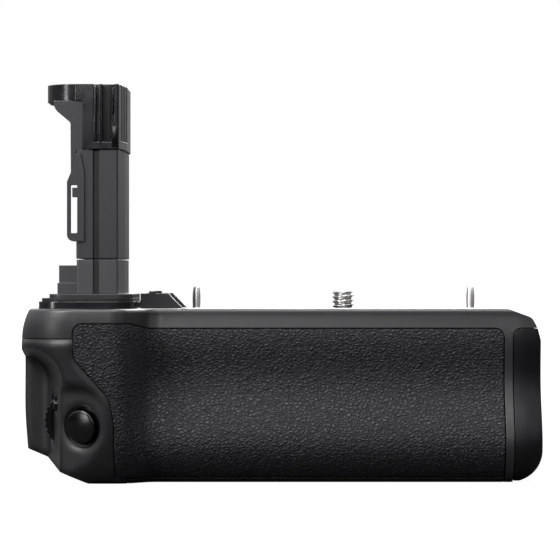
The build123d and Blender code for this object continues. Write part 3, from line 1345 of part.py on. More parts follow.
def door_holder():
    """The cradle that keeps the camera's battery door: two ears and a low rail."""
    top = BODY_HEIGHT + HOLDER_HEIGHT
    profile = make_face(Polyline(
        (-HOLDER_LEFT, BODY_HEIGHT), (-HOLDER_LEFT, top), (-HOLDER_RIB_LEFT, top),
        (-HOLDER_RIB_LEFT, top + HOLDER_RIB_RISE), (-HOLDER_RIB_RIGHT, top + HOLDER_RIB_RISE),
        (-HOLDER_RIB_RIGHT, top), (-HOLDER_SLOPE, top), (-HOLDER_RIGHT, BODY_HEIGHT), close=True))
    front = front_prism(profile, -HOLDER_FRONT, -HOLDER_FRONT + HOLDER_EAR)
    back = front_prism(profile, HOLDER_BACK - HOLDER_EAR, HOLDER_BACK)
    rail = block(-HOLDER_LEFT, -HOLDER_LEFT + HOLDER_RAIL, -HOLDER_FRONT, HOLDER_BACK,
                 BODY_HEIGHT, BODY_HEIGHT + HOLDER_RAIL_HEIGHT)
    return front + back + rail


# Controls

SWITCH_FLOOR = BUTTON_SEAT_GAP + BUTTON_FLANGE_THICKNESS + BUTTON_TRAVEL + SWITCH_GAP
CONTROL_BOARD_Y = THUMB_INNER - SWITCH_FLOOR - SWITCH_HEIGHT
SHUTTER_SWITCH_DEPTH = WALL + BUTTON_SEAT_GAP + BUTTON_FLANGE_THICKNESS + SHUTTER_TRAVEL + SWITCH_GAP
SHUTTER_BOARD_DEPTH = SHUTTER_SWITCH_DEPTH + SWITCH_HEIGHT


def button(plane, radius, proud, crown, wall=WALL):
    """A round button with a crowned top and a flange behind the wall, facing along the plane's Z."""
    top = proud
    bottom = -wall - BUTTON_SEAT_GAP - BUTTON_FLANGE_THICKNESS
    body = Pos(0, 0, bottom) * Cylinder(radius, top - crown - bottom,
                                        align=(Align.CENTER, Align.CENTER, Align.MIN))
    sphere = (radius ** 2 + crown ** 2) / (2 * crown)
    dome = Pos(0, 0, top - sphere) * Sphere(sphere)
    dome = dome & rod((0, 0, top - crown), (0, 0, 1), radius, 2 * crown)
    flange = Pos(0, 0, bottom) * Cylinder(radius + BUTTON_FLANGE, BUTTON_FLANGE_THICKNESS,
                                          align=(Align.CENTER, Align.CENTER, Align.MIN))
    return plane * (body + dome + flange)


def rear_button(index):
    """One of the three round buttons on the back."""
    place = (-REAR_BUTTON_X, THUMB_REACH, REAR_BUTTON_ZS[index])
    plane = Plane(origin=place, x_dir=(1, 0, 0), z_dir=(0, 1, 0))
    return button(plane, REAR_BUTTON_RADIUS, BUTTON_PROUD, BUTTON_CROWN)


def shutter_button():
    """The shutter button on its slanting flat."""
    return button(shutter_plane(), SHUTTER_RADIUS, SHUTTER_PROUD, SHUTTER_CROWN)


def channel_wall_x(y):
    """X of the finger channel's wall at a depth y behind the origin."""
    share = (-y - CHANNEL_BACK_Y) / (CHANNEL_FRONT_Y - CHANNEL_BACK_Y)
    return -(CHANNEL_WALL_FAR + (CHANNEL_WALL_NEAR - CHANNEL_WALL_FAR) * share)


def small_button():
    """The small function button in the finger channel."""
    x = channel_wall_x(-SMALL_BUTTON_Y)
    plane = Plane(origin=(x, -SMALL_BUTTON_Y, SMALL_BUTTON_Z), x_dir=(0, -1, 0), z_dir=(-1, 0, 0))
    slack = BUTTON_SEAT_GAP + SMALL_BUTTON_RADIUS / 2
    return button(plane, SMALL_BUTTON_RADIUS, BUTTON_PROUD, BUTTON_CROWN, WALL + slack)


def shutter_collar():
    """The dished ring round the shutter button."""
    outer = SHUTTER_RADIUS + SHUTTER_COLLAR_WIDTH - SHAFT_CLEARANCE
    inner = SHUTTER_RADIUS + BUTTON_GAP
    section = [(inner, -SHUTTER_COLLAR_THICKNESS), (outer, -SHUTTER_COLLAR_THICKNESS), (outer, 0),
               (inner, -SHUTTER_COLLAR_THICKNESS * SHUTTER_DISH_SHARE)]
    face = Plane.XZ * make_face(Polyline(*section, close=True))
    return shutter_plane() * revolve(face, Axis.Z)


def shutter_switch():
    """The shutter button's switch on its small board."""
    plane = shutter_plane()
    board = plane * Pos(0, 0, -SHUTTER_BOARD_DEPTH - BOARD_THICKNESS / 2) * Box(
        2 * SHUTTER_RADIUS, 2 * (SHUTTER_BOARD_HALF + POST_RADIUS), BOARD_THICKNESS)
    body = plane * Pos(0, 0, -SHUTTER_BOARD_DEPTH) * Cylinder(
        SWITCH_RADIUS, SWITCH_HEIGHT, align=(Align.CENTER, Align.CENTER, Align.MIN))
    return board + body


def wheel(radius, thickness):
    """A ribbed wheel along Z, centred, with a hub dished at both sides."""
    disc = Pos(0, 0, -thickness / 2) * ribbed_disc(radius, thickness, WHEEL_RIBS, WHEEL_RIB_DEPTH)
    dish = Cylinder(radius - 4 * WHEEL_RIB_DEPTH, WHEEL_DISH) - Cylinder(WHEEL_HUB_RADIUS, WHEEL_DISH)
    for side in (-1, 1):
        disc = disc - Pos(0, 0, side * (thickness - WHEEL_DISH) / 2) * dish
    return disc - Cylinder(WHEEL_AXLE_RADIUS + WHEEL_AXLE_CLEARANCE, thickness * 2)


def front_wheel():
    """The dial behind the shutter button."""
    plane = Plane(origin=(-FRONT_WHEEL_X, -FRONT_WHEEL_Y, FRONT_WHEEL_Z), x_dir=(1, 0, 0), z_dir=(0, -1, 0))
    return plane * wheel(FRONT_WHEEL_RADIUS, FRONT_WHEEL_THICKNESS)


def rear_wheel():
    """The thumb's dial at the back."""
    plane = Plane(origin=(-REAR_WHEEL_X, REAR_WHEEL_Y, REAR_WHEEL_Z), x_dir=(0, 1, 0), z_dir=(1, 0, 0))
    return plane * wheel(REAR_WHEEL_RADIUS, REAR_WHEEL_THICKNESS)


def wheel_axles():
    """The two fixed pins that the wheels turn on."""
    front_half = FRONT_WHEEL_THICKNESS / 2 + YOKE_GAP + YOKE_THICKNESS
    rear_half = REAR_WHEEL_THICKNESS / 2 + YOKE_GAP + YOKE_THICKNESS
    front = rod((-FRONT_WHEEL_X, -FRONT_WHEEL_Y - front_half, FRONT_WHEEL_Z), (0, 1, 0),
                WHEEL_AXLE_RADIUS, 2 * front_half)
    rear = rod((-REAR_WHEEL_X - rear_half, REAR_WHEEL_Y, REAR_WHEEL_Z), (1, 0, 0),
               WHEEL_AXLE_RADIUS, 2 * rear_half)
    return Compound([front, rear])


def board_posts():
    """Centres of the posts behind the control board, in X and Z."""
    left = -CONTROL_BOARD_LEFT + POST_INSET
    right = -CONTROL_BOARD_RIGHT - POST_INSET
    low = CONTROL_BOARD_BOTTOM + POST_INSET
    high = CONTROL_BOARD_TOP - POST_INSET
    return [(left, low), (right, low), (left, high), (right, high)]


def control_board():
    """The upright circuit board behind the thumb's controls, with its switches."""
    board = block(-CONTROL_BOARD_LEFT, -CONTROL_BOARD_RIGHT, CONTROL_BOARD_Y - BOARD_THICKNESS,
                  CONTROL_BOARD_Y, CONTROL_BOARD_BOTTOM, CONTROL_BOARD_TOP)
    for z in REAR_BUTTON_ZS:
        board = board + rod((-REAR_BUTTON_X, CONTROL_BOARD_Y, z), (0, 1, 0), SWITCH_RADIUS, SWITCH_HEIGHT)
    return board


STICK_PIVOT_Y = THUMB_REACH - STICK_PIVOT_DEPTH


def stick_case():
    """The square case on the board that carries the thumb stick."""
    half = STICK_CASE_HALF
    low = CONTROL_BOARD_Y
    high = STICK_PIVOT_Y + STICK_RING_HALF + STICK_FOOT
    case = block(-STICK_X - half, -STICK_X + half, low, high, STICK_Z - half, STICK_Z + half)
    inner = half - STICK_CASE_WALL
    case = case - block(-STICK_X - inner, -STICK_X + inner, low, high + OVERRUN,
                        STICK_Z - inner, STICK_Z + inner)
    return case - rod((-STICK_X, STICK_PIVOT_Y, STICK_Z - half - OVERRUN), (0, 0, 1),
                      STICK_PIN_RADIUS + STICK_PIN_CLEARANCE, 2 * (half + OVERRUN))


def stick_gimbal():
    """The ring that lets the stick tilt sideways."""
    ring = rod((-STICK_X, STICK_PIVOT_Y - STICK_RING_HALF, STICK_Z), (0, 1, 0),
               STICK_RING_OUTER, 2 * STICK_RING_HALF)
    ring = ring - rod((-STICK_X, STICK_PIVOT_Y - OVERRUN, STICK_Z), (0, 1, 0),
                      STICK_RING_INNER, 2 * OVERRUN)
    reach = STICK_CASE_HALF
    pins = rod((-STICK_X, STICK_PIVOT_Y, STICK_Z - reach), (0, 0, 1), STICK_PIN_RADIUS, 2 * reach)
    pins = pins - rod((-STICK_X, STICK_PIVOT_Y - OVERRUN, STICK_Z), (0, 1, 0),
                      (STICK_RING_INNER + STICK_RING_OUTER) / 2, 2 * OVERRUN)
    ring = ring + pins
    return ring - rod((-STICK_X - STICK_CASE_HALF, STICK_PIVOT_Y, STICK_Z), (1, 0, 0),
                      STICK_PIN_RADIUS + STICK_PIN_CLEARANCE, 2 * STICK_CASE_HALF)


def stick_cap():
    """The thumb stick with its ball and cross pin."""
    ball = Pos(-STICK_X, STICK_PIVOT_Y, STICK_Z) * Sphere(STICK_BALL_RADIUS)
    cap_low = THUMB_REACH + STICK_CAP_LIFT
    post = rod((-STICK_X, STICK_PIVOT_Y, STICK_Z), (0, 1, 0), STICK_RADIUS, cap_low - STICK_PIVOT_Y + SEAM)
    cap = rod((-STICK_X, cap_low, STICK_Z), (0, 1, 0), STICK_CAP_RADIUS, STICK_CAP_THICKNESS)
    cap = fillet(cap.edges().sort_by(Axis.Y)[-1], STICK_CAP_ROUND)
    inner = STICK_CAP_RADIUS - 2 * STICK_CAP_ROUND
    sphere = (inner ** 2 + STICK_CAP_DISH ** 2) / (2 * STICK_CAP_DISH)
    dish_y = cap_low + STICK_CAP_THICKNESS - STICK_CAP_DISH + sphere
    cap = cap - Pos(-STICK_X, dish_y, STICK_Z) * Sphere(sphere)
    reach = STICK_RING_OUTER
    pin = rod((-STICK_X - reach, STICK_PIVOT_Y, STICK_Z), (1, 0, 0), STICK_PIN_RADIUS, 2 * reach)
    return ball + post + cap + pin


def power_lever():
    """The power lever on the back."""
    low = BACK_REACH + LEVER_GAP
    disc = rod((-LEVER_X, low, LEVER_Z), (0, 1, 0), LEVER_RADIUS, LEVER_THICKNESS)
    nub = block(-LEVER_X - LEVER_NUB_WIDTH / 2, -LEVER_X + LEVER_NUB_WIDTH / 2, low,
                low + LEVER_THICKNESS, LEVER_Z, LEVER_Z + LEVER_NUB_REACH)
    lever = disc + nub
    top = lever.faces().sort_by(Axis.Y)[-1].edges()
    lever = fillet(top, LEVER_ROUND)
    ridge = block(-LEVER_X - LEVER_NUB_WIDTH / 4, -LEVER_X + LEVER_NUB_WIDTH / 4,
                  low + LEVER_THICKNESS / 2, low + LEVER_THICKNESS + LEVER_NUB_HEIGHT,
                  LEVER_Z + LEVER_RADIUS / 2, LEVER_Z + LEVER_NUB_REACH - LEVER_ROUND)
    shaft_end = BACK_INNER - LEVER_CLIP_THICKNESS - 2 * LEVER_GAP
    shaft = rod((-LEVER_X, shaft_end, LEVER_Z), (0, 1, 0), LEVER_SHAFT_RADIUS, low - shaft_end + SEAM)
    clip = rod((-LEVER_X, shaft_end, LEVER_Z), (0, 1, 0), LEVER_CLIP_RADIUS, LEVER_CLIP_THICKNESS)
    return lever + ridge + shaft + clip


def main_board():
    """The main circuit board on posts above the tunnel."""
    z0 = TUNNEL_TOP + BOARD_STANDOFF
    board = block(-BOARD_LEFT, -BOARD_RIGHT, -BOARD_FRONT, BOARD_BACK, z0, z0 + BOARD_THICKNESS)
    for x in (-BOARD_LEFT + BOARD_POST_INSET, -BOARD_RIGHT - BOARD_POST_INSET):
        for y in (-BOARD_FRONT + BOARD_POST_INSET, BOARD_BACK - BOARD_POST_INSET):
            board = board + rod((x, y, TUNNEL_TOP), (0, 0, 1), POST_RADIUS, BOARD_STANDOFF)
    return board


# Assembly

def all_parts():
    """Every piece by its node name."""
    latch_left, latch_right = latch_walls()
    return {
        "top_cover": top_cover(),
        "front_shell": front_shell(),
        "control_corner": control_corner(),
        "rear_shell": rear_shell(),
        "base_plate": base_plate(),
        "base_screws": base_screws(),
        "tripod_socket": tripod_socket(),
        "front_grip": front_grip(),
        "thumb_pad": thumb_pad_layer(RUBBER_GAP),
        "end_pad": end_pad_layer(RUBBER_GAP),
        "battery_tunnel": battery_tunnel(),
        "tunnel_contacts": tunnel_contacts(),
        "magazine_tray": magazine_tray(),
        "battery_pack_outer": battery_pack(PACK_LEFT_1),
        "battery_pack_inner": battery_pack(PACK_LEFT_2),
        "pack_latch_inner": pack_latch(latch_left),
        "pack_latch_outer": pack_latch(latch_right),
        "magazine_cap": magazine_cap(),
        "cap_seal": cap_seal_ring(SEAL_DEPTH + FLANGE_CLEARANCE),
        "lock_knob": lock_knob(),
        "lock_cam": lock_cam(),
        "release_tab": release_tab(),
        "tab_pin": tab_pin(),
        "attachment_dial": attachment_dial(),
        "dial_axle": dial_axle(),
        "bearing_plate": bearing_plate(),
        "attachment_screw": attachment_screw(),
        "screw_gear": screw_gear(),
        "thrust_washer": thrust_washer(),
        "screw_collar": screw_collar(),
        "guide_pins": guide_pins(),
        "stem_column": stem_column(),
        "stem_boot": stem_boot(),
        "stem_core": stem_core(),
        "stem_head": stem_head(),
        "stem_contacts": stem_contacts(),
        "stem_shelf": stem_shelf(),
        "side_clip": side_clip(),
        "stem_plinth": stem_plinth(),
        "plinth_seal": plinth_seal(),
        "plinth_crown": plinth_crown(),
        "door_holder": door_holder(),
        "shutter_button": shutter_button(),
        "shutter_collar": shutter_collar(),
        "shutter_switch": shutter_switch(),
        "small_button": small_button(),
        "front_wheel": front_wheel(),
        "rear_wheel": rear_wheel(),
        "wheel_axles": wheel_axles(),
        "af_on_button": rear_button(0),
        "exposure_lock_button": rear_button(1),
        "focus_point_button": rear_button(2),
        "control_board": control_board(),
        "stick_case": stick_case(),
        "stick_gimbal": stick_gimbal(),
        "thumb_stick": stick_cap(),
        "power_lever": power_lever(),
        "main_board": main_board(),
    }


os.makedirs("parts", exist_ok=True)
for name, shape in all_parts().items():
    export_step(shape, f"parts/{name}.step")
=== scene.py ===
"""Dresses a camera battery grip: leather-grained rubber, moulded plastic, bright screw and pins."""

import json
import logging
import math
from contextlib import contextmanager
from dataclasses import dataclass
from enum import Enum
from typing import Iterator, NamedTuple, Sequence

import bpy
import numpy as np
from mathutils import Matrix, Vector, noise


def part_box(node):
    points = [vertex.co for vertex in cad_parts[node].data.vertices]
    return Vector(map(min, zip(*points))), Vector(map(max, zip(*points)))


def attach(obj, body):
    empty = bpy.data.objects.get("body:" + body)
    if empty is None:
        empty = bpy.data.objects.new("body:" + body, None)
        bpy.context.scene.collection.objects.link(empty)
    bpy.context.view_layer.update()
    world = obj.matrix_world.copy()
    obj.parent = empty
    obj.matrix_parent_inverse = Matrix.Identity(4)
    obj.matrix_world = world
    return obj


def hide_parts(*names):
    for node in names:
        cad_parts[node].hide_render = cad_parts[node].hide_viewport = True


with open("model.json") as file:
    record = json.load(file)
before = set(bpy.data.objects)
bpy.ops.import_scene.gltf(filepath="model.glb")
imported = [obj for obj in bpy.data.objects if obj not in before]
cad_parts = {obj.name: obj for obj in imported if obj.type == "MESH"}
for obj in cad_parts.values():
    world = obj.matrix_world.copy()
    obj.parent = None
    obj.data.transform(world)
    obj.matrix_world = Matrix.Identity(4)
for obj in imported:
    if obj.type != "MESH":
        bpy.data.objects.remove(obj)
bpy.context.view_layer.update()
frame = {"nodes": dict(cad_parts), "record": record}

MM = 0.001
GRAIN = "grain"
WELD_MM = 0.004
ON_WALL_MM = 0.01
ROUND_STEPS = 4
log = logging.getLogger("battery_grip")

Point = tuple[float, float, float]
Colour = tuple[float, float, float]
Span = tuple[float, float]

# The Mix node has one set of sockets for each kind of value; these are its colour sockets.
MIX_SHARE, MIX_LOW, MIX_HIGH, MIX_COLOUR = 0, 6, 7, 2


# Shader maths


class Wire:
    """A shader socket that takes part in sums, so that a pattern reads as a formula."""

    def __init__(self, tree: "ShaderTree", socket: bpy.types.NodeSocket) -> None:
        """Wraps a socket.

        Args:
            tree: the material's tree that the socket belongs to.
            socket: the output socket.
        """
        self.tree = tree
        self.socket = socket

    def _math(self, operation: str, *values: "Wire | float") -> "Wire":
        """A Math node on these values."""
        return self.tree.node("ShaderNodeMath", {"operation": operation}, dict(enumerate(values)))

    def __add__(self, other: "Wire | float") -> "Wire":
        """self + other."""
        return self._math("ADD", self, other)

    __radd__ = __add__

    def __sub__(self, other: "Wire | float") -> "Wire":
        """self - other."""
        return self._math("SUBTRACT", self, other)

    def __rsub__(self, other: float) -> "Wire":
        """other - self."""
        return self._math("SUBTRACT", other, self)

    def __mul__(self, other: "Wire | float") -> "Wire":
        """self * other."""
        return self._math("MULTIPLY", self, other)

    __rmul__ = __mul__

    def step(self, low: float, high: float) -> "Wire":
        """A smooth step from 0 at low to 1 at high."""
        values = {"Value": self, "From Min": low, "From Max": high}
        return self.tree.node("ShaderNodeMapRange", {"interpolation_type": "SMOOTHSTEP"}, values)

    def band(self, rise: Span, fall: Span) -> "Wire":
        """1 between rise and fall, and 0 before and after them."""
        return self.step(*rise) * (1.0 - self.step(*fall))


class ShaderTree:
    """The nodes of a material or of the sky."""

    def __init__(self, owner: bpy.types.Material | bpy.types.World) -> None:
        """Clears the owner's nodes.

        Args:
            owner: what the nodes belong to.
        """
        self.owner = owner
        owner.use_nodes = True
        self.tree = owner.node_tree
        self.tree.nodes.clear()

    @classmethod
    def named(cls, name: str) -> "ShaderTree":
        """The tree of a new material."""
        return cls(bpy.data.materials.new(name))

    def node(self, kind: str, settings: dict, inputs: dict, output: int | str = 0) -> Wire:
        """Adds a node.

        Args:
            kind: the node's type.
            settings: its own properties, which are set first.
            inputs: values or wires by socket name or number.
            output: the socket that is returned.

        Returns:
            The chosen output as a wire.
        """
        made = self.tree.nodes.new(kind)
        for key, value in settings.items():
            setattr(made, key, value)
        for key, value in inputs.items():
            if isinstance(value, Wire):
                self.tree.links.new(value.socket, made.inputs[key])
            else:
                made.inputs[key].default_value = value
        return Wire(self, made.outputs[output])

    def place(self, stretch: Point = (1.0, 1.0, 1.0)) -> Wire:
        """Object coordinates in metres, stretched."""
        where = self.node("ShaderNodeTexCoord", {}, {}, "Object")
        return self.node("ShaderNodeMapping", {}, {"Vector": where, "Scale": stretch})

    def noise(self, where: Wire, size_mm: float, detail: float = 3.0, rough: float = 0.55) -> Wire:
        """Noise from 0 to 1.

        Args:
            where: the coordinates.
            size_mm: about how far its lumps are across.
            detail: how many finer layers it has.
            rough: how strong the finer layers are.

        Returns:
            The noise.
        """
        inputs = {"Vector": where, "Scale": 1.0 / (size_mm * MM), "Detail": detail,
                  "Roughness": rough}
        return self.node("ShaderNodeTexNoise", {}, inputs)

    def cells(self, where: Wire, size_mm: float) -> Wire:
        """Cells of about size_mm, as the distance to the nearest edge between two."""
        inputs = {"Vector": where, "Scale": 1.0 / (size_mm * MM)}
        return self.node("ShaderNodeTexVoronoi", {"feature": "DISTANCE_TO_EDGE"}, inputs)

    def blend(self, share: Wire, low: Colour, high: Colour) -> Wire:
        """A colour between low and high."""
        inputs = {MIX_SHARE: share, MIX_LOW: (*low, 1.0), MIX_HIGH: (*high, 1.0)}
        return self.node("ShaderNodeMix", {"data_type": "RGBA"}, inputs, MIX_COLOUR)

    def soft_edges(self, radius_mm: float) -> Wire:
        """The normal with its edges rounded by radius_mm."""
        return self.node("ShaderNodeBevel", {"samples": 6}, {"Radius": radius_mm * MM})

    def bump(self, height: Wire, depth_mm: float, normal: Wire | None = None) -> Wire:
        """A bumped normal.

        Args:
            height: the relief, from 0 to 1.
            depth_mm: how far a height of 1 stands proud.
            normal: the normal that is bumped, if not the mesh's own.

        Returns:
            The normal.
        """
        inputs: dict = {"Height": height, "Distance": depth_mm * MM, "Strength": 1.0}
        if normal is not None:
            inputs["Normal"] = normal
        return self.node("ShaderNodeBump", {}, inputs)

    def finish(self, **inputs: "Wire | float | tuple") -> bpy.types.Material:
        """Ends the tree in a Principled shader.

        Args:
            inputs: the shader's values by name, with underscores for spaces.

        Returns:
            The finished material.
        """
        values = {key.replace("_", " "): value for key, value in inputs.items()}
        return self.end(self.node("ShaderNodeBsdfPrincipled", {}, values))

    def end(self, shader: Wire, kind: str = "ShaderNodeOutputMaterial") -> bpy.types.ID:
        """Joins a shader to the output.

        Args:
            shader: the last shader.
            kind: the output node's type.

        Returns:
            The owner of the tree.
        """
        last = self.tree.nodes.new(kind)
        self.tree.links.new(shader.socket, last.inputs["Surface"])
        return self.owner


# Finishes


@dataclass(frozen=True)
class MouldedPlastic:
    """Black plastic with the fine texture of a spark-eroded mould."""

    name: str
    colour: Colour
    roughness: float = 0.42
    texture_mm: float = 0.16
    depth_mm: float = 0.012
    edge_mm: float = 0.3
    shine: float = 0.3
    patch_mm: float = 14.0
    fresh_share: float = 0.85
    worn_share: float = 1.25
    worn_haze: float = 0.002
    patchiness: float = 0.08
    speckle: float = 0.12

    def build(self) -> bpy.types.Material:
        """Makes the material.

        Returns:
            The material.
        """
        tree = ShaderTree.named(self.name)
        where = tree.place()
        fine = tree.noise(where, self.texture_mm, 2.0)
        broad = tree.noise(where, self.patch_mm, 2.0)
        fresh = tuple(c * self.fresh_share for c in self.colour)
        worn = tuple(c * self.worn_share + self.worn_haze for c in self.colour)
        colour = tree.blend(broad * 0.6 + fine * 0.4, fresh, worn)
        normal = tree.bump(fine, self.depth_mm, tree.soft_edges(self.edge_mm))
        patches = (broad - 0.5) * self.patchiness
        roughness = self.roughness + patches + (fine - 0.5) * self.speckle
        return tree.finish(Base_Color=colour, Roughness=roughness, Normal=normal,
                           Specular_IOR_Level=self.shine)


@dataclass(frozen=True)
class SmoothPlastic:
    """Smooth black plastic with faint handling marks."""

    name: str
    colour: Colour
    roughness: float = 0.2
    edge_mm: float = 0.25
    shine: float = 0.35
    mark_mm: float = 6.0
    mark_share: float = 1.35
    line_mm: float = 0.5
    along: Point = (1.0, 1.0, 0.15)
    depth_mm: float = 0.004

    def build(self) -> bpy.types.Material:
        """Makes the material.

        Returns:
            The material.
        """
        tree = ShaderTree.named(self.name)
        marks = tree.noise(tree.place(), self.mark_mm, 4.0, 0.6)
        fine = tree.noise(tree.place(self.along), self.line_mm, 2.0)
        marked = tuple(c * self.mark_share for c in self.colour)
        colour = tree.blend(marks, self.colour, marked)
        normal = tree.bump(fine, self.depth_mm, tree.soft_edges(self.edge_mm))
        roughness = self.roughness + marks.step(0.35, 0.75) * 0.1
        return tree.finish(Base_Color=colour, Roughness=roughness, Normal=normal,
                           Specular_IOR_Level=self.shine)


@dataclass(frozen=True)
class LeatherRubber:
    """Rubber moulded with a pebbled leather grain; the pebbles themselves are in the mesh, and the
    creases between them are painted darker as shade.
    """

    name: str
    colour: Colour
    crease_shade: Colour
    shine: float = 0.35
    cell_mm: float = 0.92
    flat_cells: Point = (0.8, 0.8, 1.15)
    wander_scale: float = 520.0
    wander_m: float = 0.0009
    dust_mm: float = 0.12
    depth_mm: float = 0.17
    crease_roughness: float = 0.78
    polish: float = 0.38

    def build(self) -> bpy.types.Material:
        """Makes the material.

        Returns:
            The material.
        """
        tree = ShaderTree.named(self.name)
        grain = tree.node("ShaderNodeAttribute", {"attribute_name": GRAIN}, {}, "Fac")
        where = tree.place()
        wander = tree.node("ShaderNodeTexNoise", {},
                           {"Vector": where, "Scale": self.wander_scale}, "Color")
        bent = tree.node("ShaderNodeVectorMath", {"operation": "MULTIPLY_ADD"},
                         {0: wander, 1: (self.wander_m,) * 3, 2: tree.place(self.flat_cells)})
        pebble = tree.cells(bent, self.cell_mm).step(0.0, 0.3)
        dust = tree.noise(where, self.dust_mm, 2.0)
        tops_vs_crease_shade = grain.step(0.1, 0.7) * 0.45 + pebble * 0.55
        # The crease colour is painted shade, darkening the creases between the pebbles.
        colour = tree.blend(tops_vs_crease_shade, self.crease_shade, self.colour)
        polished = tops_vs_crease_shade.step(0.4, 1.0) * self.polish
        roughness = self.crease_roughness - polished + (dust - 0.5) * 0.1
        normal = tree.bump(pebble * 0.92 + dust * 0.08, self.depth_mm)
        return tree.finish(Base_Color=colour, Roughness=roughness, Normal=normal,
                           Specular_IOR_Level=self.shine)


@dataclass(frozen=True)
class TurnedMetal:
    """Bright metal with fine turning or brushing lines."""

    name: str
    colour: Colour
    roughness: float = 0.22
    line_mm: float = 0.05
    across: Point = (0.12, 0.12, 1.0)
    edge_mm: float = 0.12
    depth_mm: float = 0.004
    stain_mm: float = 2.5
    stain_share: float = 0.82

    def build(self) -> bpy.types.Material:
        """Makes the material.

        Returns:
            The material.
        """
        tree = ShaderTree.named(self.name)
        lines = tree.noise(tree.place(self.across), self.line_mm, 2.0)
        stain = tree.noise(tree.place(), self.stain_mm)
        stained = tuple(c * self.stain_share for c in self.colour)
        colour = tree.blend(stain, stained, self.colour)
        roughness = self.roughness + (lines - 0.5) * 0.16 + (stain - 0.5) * 0.08
        normal = tree.bump(lines, self.depth_mm, tree.soft_edges(self.edge_mm))
        return tree.finish(Base_Color=colour, Metallic=1.0, Roughness=roughness, Normal=normal)


@dataclass(frozen=True)
class CircuitBoard:
    """Green solder resist with copper tracks under it."""

    name: str
    colour: Colour
    track_mm: float = 2.4
    track_share: float = 1.7
    weave_mm: float = 0.5
    depth_mm: float = 0.03

    def build(self) -> bpy.types.Material:
        """Makes the material.

        Returns:
            The material.
        """
        tree = ShaderTree.named(self.name)
        where = tree.place()
        tracks = tree.cells(where, self.track_mm).step(0.05, 0.09)
        weave = tree.noise(where, self.weave_mm, 2.0)
        lighter = tuple(c * self.track_share for c in self.colour)
        colour = tree.blend(tracks * 0.8 + weave * 0.2, lighter, self.colour)
        normal = tree.bump(1.0 - tracks, self.depth_mm)
        return tree.finish(Base_Color=colour, Roughness=0.3 + weave * 0.15, Normal=normal)


class Finish(Enum):
    """The finishes of the grip, by the record's material slot, and five for single pieces."""

    SHELL = "shell_plastic"
    RUBBER = "grip_rubber"
    GLOSS = "gloss_plastic"
    CONTROL = "control_plastic"
    INNER = "inner_plastic"
    COARSE = "coarse_plastic"
    DARK = "dark_plastic"
    SOFT = "soft_plastic"
    SATIN = "satin_plastic"
    PACK = "pack_plastic"
    BRIGHT = "chrome_steel"
    PIN = "pin_steel"
    PLATED = "plated_metal"
    BLACK_METAL = "black_metal"
    GOLD = "contact_gold"
    SEAL = "seal_rubber"
    BOARD = "board_green"


RECIPES = {
    Finish.SHELL: MouldedPlastic("shell_plastic", (0.0082, 0.0082, 0.0094), 0.36, shine=0.5),
    # The rubber's second colour is painted shade in the grain's creases.
    Finish.RUBBER: LeatherRubber("grip_rubber", (0.0072, 0.0069, 0.0112), (0.0007, 0.0007, 0.0011)),
    Finish.GLOSS: SmoothPlastic("gloss_plastic", (0.009, 0.009, 0.0105), 0.15, shine=0.5),
    Finish.CONTROL: SmoothPlastic("control_plastic", (0.0012, 0.0012, 0.0016), 0.15, shine=0.36),
    Finish.INNER: MouldedPlastic("inner_plastic", (0.020, 0.020, 0.023), 0.36, 0.2, 0.008,
                                 shine=0.5),
    Finish.COARSE: MouldedPlastic("coarse_plastic", (0.034, 0.034, 0.037), 0.45, 0.5, 0.07,
                                  shine=0.5),
    # Painted shade: a darker moulded plastic for the control corner, with widely rounded edges.
    Finish.SOFT: MouldedPlastic("soft_plastic", (0.0054, 0.0054, 0.0066), 0.38, edge_mm=3.2,
                                shine=0.5),
    # Painted top light: a lighter moulded plastic for the top cover, with its own satin roughness.
    Finish.SATIN: MouldedPlastic("satin_plastic", (0.0135, 0.0135, 0.015), 0.4, shine=0.45),
    # Painted shade: a darker moulded plastic for the magazine cap.
    Finish.DARK: MouldedPlastic("dark_plastic", (0.0026, 0.0026, 0.0038), 0.42, shine=0.22),
    Finish.PACK: MouldedPlastic("pack_plastic", (0.05, 0.05, 0.053), 0.45),
    Finish.BRIGHT: TurnedMetal("chrome_steel", (0.58, 0.57, 0.56), 0.28),
    Finish.PIN: TurnedMetal("pin_steel", (0.88, 0.87, 0.86), 0.34),
    Finish.PLATED: TurnedMetal("plated_metal", (0.55, 0.54, 0.52), 0.3),
    Finish.BLACK_METAL: MouldedPlastic("black_metal", (0.02, 0.02, 0.022), 0.3, 0.1, 0.004),
    Finish.GOLD: TurnedMetal("contact_gold", (0.80, 0.58, 0.27), 0.25),
    Finish.SEAL: MouldedPlastic("seal_rubber", (0.006, 0.006, 0.007), 0.6, 0.2, 0.01),
    Finish.BOARD: CircuitBoard("board_green", (0.01, 0.07, 0.03)),
}
# Pieces whose plastic looks different from others in the same slot of the record: the control
# corner's and the magazine cap's darker tones are painted shade, the top cover's lighter tone is
# painted top light besides its satin finish, and the stem boot's coarser texture is its own.
SPECIAL = {"stem_boot": Finish.COARSE, "magazine_cap": Finish.DARK,
           "control_corner": Finish.SOFT, "top_cover": Finish.SATIN}


